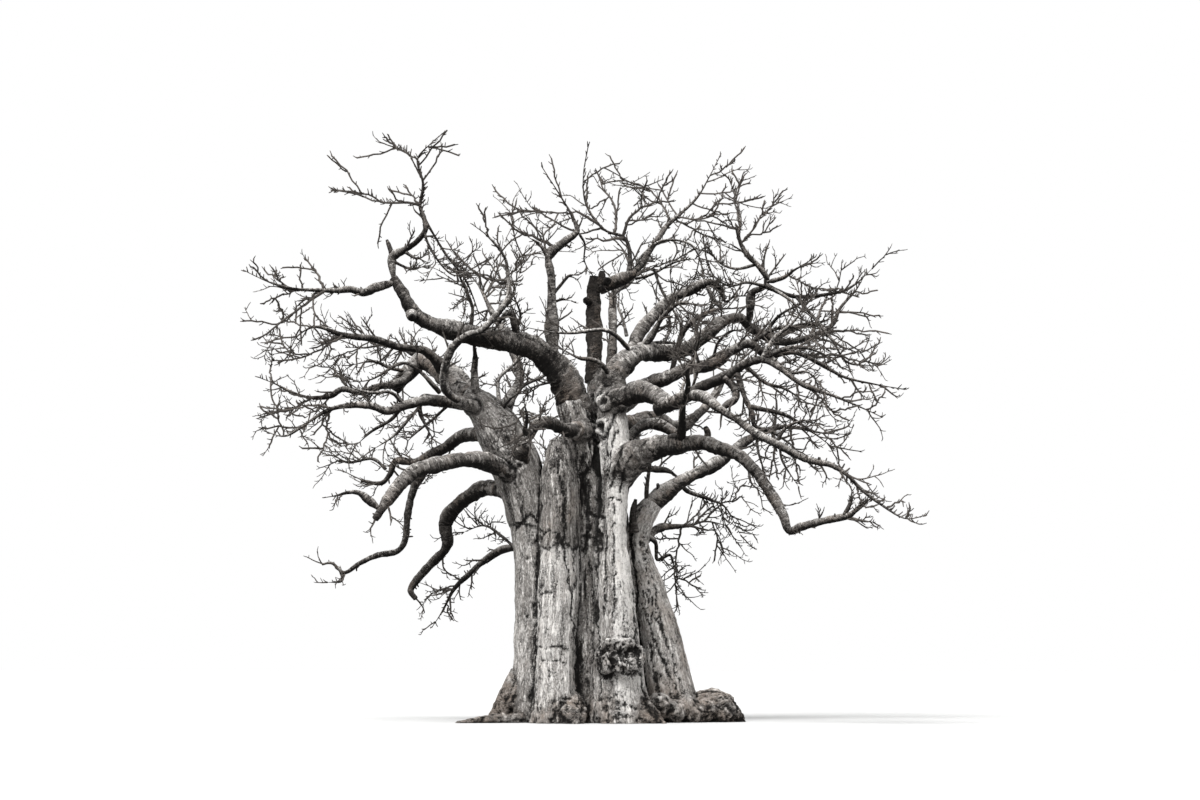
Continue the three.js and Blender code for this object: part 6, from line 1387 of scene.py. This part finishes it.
# Which boughs share a piece: its nodes' names.
BOUGH_PIECES = {
    "high_boughs_bark": ["high_left_bough", "far_left_bough", "top_left_bough", "light_post_bough",
                         "centre_post_bough", "crown_right_bough", "left_cross_bough", "front_left_bough"],
    "left_boughs_bark": ["left_fork_bough", "left_arch_bough", "left_lower_bough", "left_middle_bough",
                         "low_left_bough", "low_left_spur", "low_back_left_bough", "hanging_left_bough",
                         "hook_bough", "drooping_left_bough"],
    "right_boughs_bark": ["right_arch_bough", "right_arch_arm", "right_high_bough", "right_shoot_bough",
                          "right_shoot_spur", "right_middle_bough", "right_middle_reach", "right_upper_bough",
                          "long_right_bough", "right_lean_bough", "front_riser_bough", "inner_right_spur"],
    "back_boughs_bark": ["left_back_bough", "back_right_bough", "back_left_bough", "back_centre_bough",
                         "low_back_bough"],
}


def limb_sides(radius):
    return 22 if radius > 0.25 else 16 if radius > 0.15 else 11


ROOT_PULL = (0.4, 0.2)  # how far a bough that goes on from another starts back inside it
LEAST_BOUGH = 0.014
LIMB_SEEDS = 400


class BAOBAB_OT_boughs(bpy.types.Operator):
    """Grows the boughs' wrinkled bark along their routes, and on through the stems of their masses"""

    bl_idname = "baobab.boughs"
    bl_label = "Boughs"

    def execute(self, context):
        settings = context.scene.baobab_bark
        tree = whole_tree()
        material = bark_finish("bough_bark", settings, (0.9, 0.9, 3.6), (2.2, 2.2, 7.0), 0.035)
        by_name = {b["name"]: b for b in BOUGHS}
        for number, (piece, names) in enumerate(BOUGH_PIECES.items()):
            bundle = Bundle()
            for i, name in enumerate(names):
                bough, line = by_name[name], tree["lines"][name]
                t = even_rings(line, settings.ring_step)
                path, radii = line["curve"].at(t), radius_at(bough, line, t)
                radii = radii * np.interp(t, [line["first"], line["tip"]], bough.get("slim", (1.0, 1.0)))
                if line["joined"]:
                    back = unit(path[0] - path[1])
                    path = np.vstack([*(path[:1] + back * pull for pull in ROOT_PULL), path])
                    radii = np.concatenate([radii[:1] * 0.96, radii[:1] * 0.99, radii])
                elif bough["on"] == "trunk":
                    radii = radii * (0.72 + 0.28 * smoothstep(0.0, 0.9, t / collar_reach(bough, tree)))
                else:
                    collar = line["curve"].at(tree["collars"][name] / line["rings"] * line["tip"])
                    gone = np.linalg.norm(path - collar, axis=1)
                    radii = radii * (1 + 0.25 * bump_at(gone, 2.0 * bough["radius"][0]))
                    radii = radii * (0.5 + 0.5 * smoothstep(0.0, 0.35, run_along(path)))
                radii = np.maximum(radii, LEAST_BOUGH)
                bark_tube(bundle, path, radii, limb_sides(bough["radius"][0]), number * 20 + i + 1, settings.relief,
                          bough_tone(radii) + bough.get("shade", 0.0))
            obj = new_object(piece, bundle.mesh(piece))
            settle(obj, material, [n for n in names if not by_name[n].get("fused")])
        bundle = Bundle()
        for number, (root, last, density, route) in enumerate(LIMBS):
            blunt = density is None
            curve = Curve(placed(route))
            t = curve.evenly(np.linspace(0, 1, max(6, int(curve.length / settings.ring_step))))
            radii = root + (last - root) * t
            loss, start = (0.35, 0.8) if blunt else (0.7, 0.6)
            radii = radii * (1 - loss * smoothstep(start, 1.0, t))
            shade = 0.22 * Draw(number).between(-0.35, 0.0 if blunt else 1.0)
            if route_of(route)[0][:2] in POST:
                shade = POST_SHADE
            bark_tube(bundle, curve.at(t), radii, limb_sides(root), LIMB_SEEDS + number, settings.relief,
                      bough_tone(radii) + shade, blunt=1.6 if blunt else 0.0)
        settle(new_object("small_limbs_bark", bundle.mesh("small_limbs_bark")), material, [])
        return {"FINISHED"}


def bough_tone(radii):
    """Slim limbs are darker than stout ones."""
    return 0.2 + (BOUGH_TONE - 0.2) * smoothstep(0.04, 0.26, radii)


def resampled(path, points, jitter, rng):
    """A path drawn again through more points, with small kinks at them."""
    curve = Curve(path)
    fresh = curve.at(curve.evenly(np.linspace(0, 1, points)))
    fresh[1:] += rng.normal(0, jitter, (points - 1, 3))
    return fresh


def paths_length(paths):
    return np.linalg.norm(np.diff(paths, axis=1), axis=2).sum(1)


# Each kind of finer twig: how far apart it stands, the most on one host, where along the host the first may stand,
# its length against the host's reach, its steps, how many more stand at the host's tip, how close it keeps to the
# host, how it turns and curls up, its width against the host's, its greatest and least width, its sides, and how
# pale it is, from and by how much.
TWIGS = {
    "first": dict(every=0.5, most=9, length=(0.5, 1.1), steps=6, close=0.75, slim=0.65, least=0.0215, sides=4,
                  tone=(0.35, 0.4)),
    "second": dict(every=0.4, most=5, length=(0.35, 0.75), steps=4, tips=1, close=0.8, curl=0.06, slim=0.8,
                   least=0.0165, sides=3, tone=(0.3, 0.4)),
    "spur": dict(every=0.26, length=(0.5, 1.2), steps=2, tips=1, lift=0.2, slim=0.8, thickest=0.022, least=0.0145,
                 sides=3, tone=(0.25, 0.35)),
    "stub": dict(every=0.19, most=150, length=(0.45, 1.2), steps=2, first_at=0.0, lift=0.3, slim=0.45,
                 thickest=0.034, least=0.02, sides=4, tone=(0.3, 0.4)),
    "shoot": dict(every=0.42, most=24, length=(0.35, 1.0), steps=5, tips=1, first_at=0.0, close=0.85, lift=0.02,
                  slim=0.4, thickest=0.036, least=0.0225, sides=5, tone=(0.35, 0.3)),
}
SPUR_REACH, STUB_REACH = 0.16, 0.2
TIP_SHARE, TIP_CLOSE = 0.985, 0.5  # where a twig at a host's tip leaves it, and how close it keeps


def side_twigs(hosts, reach, rng, kind, thickly, lift):
    """The rule, for many hosts at once: twigs by golden steps along and round each, with their width and reach."""
    paths, radii = hosts
    number, rings, _ = paths.shape
    steps, tips, first_at = kind["steps"], kind.get("tips", 0), kind.get("first_at", RULE["first_at"])
    count = (paths_length(paths) / (kind["every"] / thickly) + rng.random(number)).astype(int)
    count = np.minimum(kind["most"], count) + tips
    which = np.repeat(np.arange(number), count)
    k = np.arange(len(which)) - np.repeat(np.cumsum(count) - count, count)
    at_tip = k >= np.repeat(count - tips, count)
    share = first_at + (1 - first_at) * ((rng.random(number)[which] + k * RULE["golden_share"]) % 1)
    share = np.where(at_tip, TIP_SHARE, share)
    at = share * (rings - 1)
    i = np.minimum(at.astype(int), rings - 2)
    low, high = paths[which, i], paths[which, i + 1]
    w = (at - i)[:, None]
    point, along = low + (high - low) * w, unit(high - low)
    turn = rng.random(number)[which] * RULE["full_turn"] + k * RULE["golden_turn"]
    turn = turn + rng.uniform(-RULE["turn_stray"], RULE["turn_stray"], len(which))
    side = turned(perpendicular_to(along), along, turn)
    angle = rng.uniform(*RULE["leaving"], len(which)) * np.where(at_tip, TIP_CLOSE, kind.get("close", 1.0))
    direction = along * np.cos(angle)[:, None] + side * np.sin(angle)[:, None]
    reach = reach[which] * rng.uniform(*kind["length"], len(which)) * width_at(np.minimum(share, 0.8))
    own = radii[which, i] * (1 - w[:, 0]) + radii[which, i + 1] * w[:, 0]
    made = np.empty((len(which), steps + 1, 3))
    made[:, 0] = point
    for s in range(steps):
        stray = rng.uniform(-1, 1, (len(which), 3))
        rise = lift + kind.get("lift", 0.0) + kind.get("curl", 0.0) * s / steps
        direction = unit(direction + stray * RULE["fine_wander"] + UP * rise)
        made[:, s + 1] = made[:, s] + direction * (reach / steps)[:, None]
    return made, own, reach


def add_twigs(bundle, hosts, reach, rng, kind, thickly=1.0, lift=0.0, tree=None):
    """Draws one kind of twig on its hosts. Given the tree, those that touch its limbs are left out."""
    paths, own, reach = side_twigs(hosts, reach, rng, kind, thickly, lift)
    inside = in_bounds(paths)
    if tree is not None:
        inside = inside & clear_of_limbs(paths, tree)
    paths, own, reach = paths[inside], own[inside], reach[inside]
    radii = tapered(np.minimum(own * kind["slim"], kind.get("thickest", math.inf)), kind["steps"], kind["least"])
    pale, spread = kind["tone"]
    if len(paths):
        thin_tubes(bundle, paths, radii, kind["sides"], pale + spread * rng.random(len(paths)))
    return (paths, radii), reach


def tapered(base, steps, least):
    """Radii from a base to a thin end, for many twigs."""
    share = np.linspace(0, 1, steps + 1)
    base = np.maximum(base, least)
    return base[:, None] * (1 - 0.4 * share)[None]


BOX_MARGIN = 0.12
LIMB_CLEAR = 0.01


def in_bounds(paths):
    low, high = np.array(CAD_BOX[0]) - BOX_MARGIN, np.array(CAD_BOX[1]) + BOX_MARGIN
    return (inside_crown(paths).all(1)) & ((paths > low) & (paths < high)).all((1, 2))


def clear_of_limbs(paths, tree):
    """Twigs whose outer points keep out of every trunk stem and bough."""
    kd, radii = tree["near"]
    keep = np.ones(len(paths), bool)
    for n, path in enumerate(paths):
        for point in (path[-1], path[len(path) // 2]):
            _, i, away = kd.find(point)
            if away < radii[i] + LIMB_CLEAR:
                keep[n] = False
                break
    return keep


def limb_samples(tree):
    """A tree of points along every limb, each with its radius, for quick measuring."""
    points, radii = [], []
    room = tree["room"]
    for n in range(tree["limb_count"]):
        a, b = room.a[n], room.b[n]
        steps = max(2, int(np.linalg.norm(b - a) / 0.1))
        for s in range(steps):
            points.append(a + (b - a) * s / steps)
            radii.append(room.radius[n])
    kd = KDTree(len(points))
    for i, p in enumerate(points):
        kd.insert(p, i)
    kd.balance()
    return kd, radii


def fine_growth(bundle, tree, hosts, reach, rng, fullness, lift=0.0):
    """Carries a set of twigs on to finer ones: side twigs, their side twigs, and short spurs that turn up."""
    first, reach = add_twigs(bundle, hosts, reach, rng, TWIGS["first"], fullness, lift, tree)
    second, _ = add_twigs(bundle, first, reach, rng, TWIGS["second"], fullness, lift, tree)
    for bearers, most in [(hosts, 8), (first, 4), (second, 2)]:
        size = np.full(len(bearers[0]), SPUR_REACH)
        add_twigs(bundle, bearers, size, rng, {**TWIGS["spur"], "most": most}, lift=lift)


# How each level of the source's twigs is drawn: its points, the sides of its tube and its kinks. A stem has no tube
# here, because it is drawn with its bough's bark.
LEVELS = {-2: (16, 0, 0.0), -1: (14, 6, 0.02), 0: (8, 5, 0.018), 1: (6, 4, 0.014)}


def mass_twigs(bundle, tree, grown, rng, fullness):
    """One mass: the source's arms and twigs drawn finer, and the finer twigs that they bear."""
    mass = grown["mass"]
    for level, (points, sides, jitter) in LEVELS.items():
        twigs = [twig for twig in [grown["stem"], *grown["twigs"]] if twig["level"] == level]
        if level == 1:
            twigs = [twig for twig in twigs if rng.random() < fullness + 0.25]
        if not twigs:
            continue
        paths = np.array([resampled(twig["path"], points, jitter, rng) for twig in twigs])
        base = np.array([twig["radius"] for twig in twigs])
        radii = np.maximum(base[:, None] * (1 - 0.7 * np.linspace(0, 1, points))[None], 0.025)
        if sides:
            thin_tubes(bundle, paths, radii, sides, 0.35 + 0.35 * rng.random(len(twigs)))
        reach = np.array([twig["reach"] for twig in twigs]) * (0.9 if level >= 0 else 0.75) * mass.get("shorter", 1.0)
        fine_growth(bundle, tree, (paths, radii), reach, rng, fullness)
        if level < 0:
            add_spurs(bundle, (paths, radii), rng, mass.get("shaggy", 1))


PIECE_LIMIT = 190000


class BAOBAB_OT_twigs(bpy.types.Operator):
    """Grows each mass of twigs on by the rule of its solid, down to spurs, and joins them into pieces"""

    bl_idname = "baobab.twigs"
    bl_label = "Twigs"

    def execute(self, context):
        settings = context.scene.baobab_twigs
        tree = whole_tree()
        material = twig_finish("twig_bark", tuple(settings.pale), tuple(settings.dark))
        bundles, nodes = [Bundle()], [[]]
        for name, grown in tree["masses"].items():
            own = Bundle()
            mass = grown["mass"]
            mass_twigs(own, tree, grown, np.random.default_rng(mass["seed"]), mass["full"] * settings.fullness)
            if bundles[-1].triangles() + own.triangles() > PIECE_LIMIT:
                bundles.append(Bundle())
                nodes.append([])
            add_all(bundles[-1], own)
            nodes[-1].append(name)
        for number, (bundle, names) in enumerate(zip(bundles, nodes)):
            piece = f"twigs_{number + 1}"
            settle(new_object(piece, bundle.mesh(piece)), material, names)
        for piece, hosts, seed in [("bough_shoots", bough_hosts(tree), 5), ("limb_shoots", limb_hosts(), 6)]:
            bundle = Bundle()
            add_shoots(bundle, tree, hosts, np.random.default_rng(seed), settings.fullness)
            settle(new_object(piece, bundle.mesh(piece)), material, [])
        return {"FINISHED"}


def add_all(bundle, other):
    if other.count:
        values = {k: np.concatenate(v) for k, v in other.values.items()}
        bundle.add(np.concatenate(other.corners), np.concatenate(other.quads), np.concatenate(other.tris), **values)


def bough_hosts(tree):
    """The thinner stretches of the boughs, which bear shoots: a path, its radii and how thickly they stand."""
    for bough in BOUGHS:
        line = tree["lines"][bough["name"]]
        t = even_rings(line, FINE_STEP)
        radii = radius_at(bough, line, t)
        pick = (t > line["first"] + 0.25 * (line["tip"] - line["first"])) & (t <= line["tip"]) & (radii < 0.24)
        if pick.sum() > 5:
            yield line["curve"].at(t[pick]), radii[pick], bough.get("sparse", 1.0), bough.get("shaggy", 1)


def limb_hosts():
    """The small limbs that bear shoots, in the same way."""
    for root, last, density, route in LIMBS:
        if density:
            curve = Curve(placed(route))
            t = curve.evenly(np.linspace(0.2, 1, 12))
            yield curve.at(t), root + (last - root) * t, density * 1.3, max(1, density)


def add_spurs(bundle, hosts, rng, thickly):
    """Short blunt spurs that stand close together along limbs."""
    add_twigs(bundle, hosts, np.full(len(hosts[0]), STUB_REACH), rng, TWIGS["stub"], thickly)


def add_shoots(bundle, tree, limbs, rng, fullness):
    """Shoots that stand along limbs, and the finer twigs that they bear."""
    kind = TWIGS["shoot"]
    for path, wide, density, thickly in limbs:
        limb = path[None], wide[None]
        add_spurs(bundle, limb, rng, thickly)
        longest = np.minimum(1, 0.55 * paths_length(path[None]))
        shoots, reach = add_twigs(bundle, limb, longest, rng, kind, density * fullness, tree=tree)
        if len(reach):
            fine_growth(bundle, tree, shoots, reach * 0.7, rng, fullness, kind["lift"])


class BAOBAB_OT_stage(bpy.types.Operator):
    """Lays the pale floor, hangs the soft light and sets the camera before the tree"""

    bl_idname = "baobab.stage"
    bl_label = "Floor, light and camera"

    def execute(self, context):
        settings = context.scene.baobab_stage
        bpy.ops.object.select_all(action="DESELECT")
        bpy.ops.mesh.primitive_plane_add(size=900, location=(0, 0, -0.002))
        floor = context.active_object
        floor.name = "floor"
        f = Finish("pale_floor")
        ground = f.node("ShaderNodeTexCoord", output="Object")
        speck = f.noise(ground, 2.0, 3.0)
        colour = f.mix(speck, (0.34, 0.34, 0.338, 1), (0.36, 0.36, 0.358, 1))
        floor.data.materials.append(f.finish(colour, 0.9, speck, 0.001, 0.05))
        world = bpy.data.worlds.new("white_room")
        world.use_nodes = True
        background = world.node_tree.nodes["Background"]
        background.inputs["Color"].default_value = (1, 1, 1, 1)
        background.inputs["Strength"].default_value = settings.ambient
        context.scene.world = world
        for name, energy, spread, aim in [("key_light", settings.key, 25, (0.42, 0.5, -0.95)),
                                          ("fill_light", settings.key * 0.24, 60, (-0.7, 0.6, -0.6))]:
            bpy.ops.object.light_add(type="SUN", location=(0, 0, 30))
            lamp = context.active_object
            lamp.name = name
            lamp.data.energy = energy
            lamp.data.angle = math.radians(spread)
            lamp.rotation_euler = Vector(aim).to_track_quat("-Z", "Y").to_euler()
        bpy.ops.object.camera_add(location=(0, -VIEW_DISTANCE, EYE_HEIGHT))
        camera = context.active_object
        camera.data.lens = settings.lens
        camera.data.sensor_width = 36
        camera.data.clip_end = 2000
        aim = Vector(settings.aim) - camera.location
        camera.rotation_euler = aim.to_track_quat("-Z", "Y").to_euler()
        context.scene.camera = camera
        context.scene.view_settings.view_transform = "Standard"
        return {"FINISHED"}


# ---------------------------------------------------------------- settings, panel and registration

def colour_setting(name, description, default):
    return bpy.props.FloatVectorProperty(name=name, description=description, default=default, size=4,
                                         subtype="COLOR", min=0, max=1)


class BaobabBark(bpy.types.PropertyGroup):
    """Sizes and colours of the bark"""

    skin_step: bpy.props.FloatProperty(name="Skin step", description="Size of the faces of the trunk's bark",
                                       default=0.054, unit="LENGTH")
    ring_step: bpy.props.FloatProperty(name="Ring step", description="Distance between the rings of a bough",
                                       default=0.05, unit="LENGTH")
    relief: bpy.props.FloatProperty(name="Relief", description="How strongly folds and knots stand out",
                                    default=1.0, subtype="FACTOR")
    # The pale bark shows where the tone is high, which includes light painted on upward faces and ridges.
    pale: colour_setting("Pale bark", "Weathered faces of the bark", (0.6, 0.58, 0.555, 1))
    middle: colour_setting("Bark", "Bark between pale faces and folds", (0.17, 0.158, 0.147, 1))
    dark: colour_setting("Dark bark", "Bark in the folds", (0.028, 0.0245, 0.022, 1))
    brown: colour_setting("Brown bark", "Patches of brown bark", (0.16, 0.125, 0.1, 1))


class BaobabTwigs(bpy.types.PropertyGroup):
    """Density and colours of the twigs"""

    fullness: bpy.props.FloatProperty(name="Fullness", description="How many side twigs a twig bears",
                                      default=1.0, subtype="FACTOR")
    pale: colour_setting("Pale twigs", "Twigs that the weather has bleached", (0.09, 0.08, 0.072, 1))
    dark: colour_setting("Dark twigs", "Most twigs", (0.008, 0.0072, 0.0065, 1))


class BaobabStage(bpy.types.PropertyGroup):
    """Light and camera"""

    ambient: bpy.props.FloatProperty(name="Room light", description="Strength of the white surroundings",
                                     default=1.0)
    key: bpy.props.FloatProperty(name="Key light", description="Strength of the soft light from the upper left",
                                 default=7.0)
    lens: bpy.props.FloatProperty(name="Lens", description="Focal length", default=63.5, unit="CAMERA")
    aim: bpy.props.FloatVectorProperty(name="Aim", description="Point that the camera looks at",
                                       default=(0.286, 0.0, 9.09), subtype="XYZ")


class BAOBAB_PT_panel(bpy.types.Panel):
    """The baobab's settings and pieces"""

    bl_label = "Baobab"
    bl_idname = "BAOBAB_PT_panel"
    bl_space_type = "VIEW_3D"
    bl_region_type = "UI"
    bl_category = "Baobab"

    def draw(self, context):
        for group, operators in PIECES.items():
            box = self.layout.box()
            settings = getattr(context.scene, group)
            for key in settings.__annotations__:
                box.prop(settings, key)
            for operator in operators:
                box.operator(operator.bl_idname)


PIECES = {
    "baobab_bark": [BAOBAB_OT_trunk, BAOBAB_OT_boughs],
    "baobab_twigs": [BAOBAB_OT_twigs],
    "baobab_stage": [BAOBAB_OT_stage],
}
GROUPS = {"baobab_bark": BaobabBark, "baobab_twigs": BaobabTwigs, "baobab_stage": BaobabStage}
CLASSES = [*GROUPS.values(), *[operator for group in PIECES.values() for operator in group], BAOBAB_PT_panel]
GROWN = {}


def whole_tree():
    """The tree's limbs and twigs, grown once."""
    if not GROWN:
        GROWN.update(grow_tree())
        GROWN["near"] = limb_samples(GROWN)
    return GROWN


def register():
    for item in CLASSES:
        bpy.utils.register_class(item)
    for name, group in GROUPS.items():
        setattr(bpy.types.Scene, name, bpy.props.PointerProperty(type=group))


def unregister():
    for name in GROUPS:
        delattr(bpy.types.Scene, name)
    for item in reversed(CLASSES):
        bpy.utils.unregister_class(item)


def main():
    register()
    bpy.ops.baobab.stage()
    bpy.ops.baobab.trunk()
    bpy.ops.baobab.boughs()
    bpy.ops.baobab.twigs()
    bpy.context.view_layer.update()


if __name__ == "__main__":
    main()
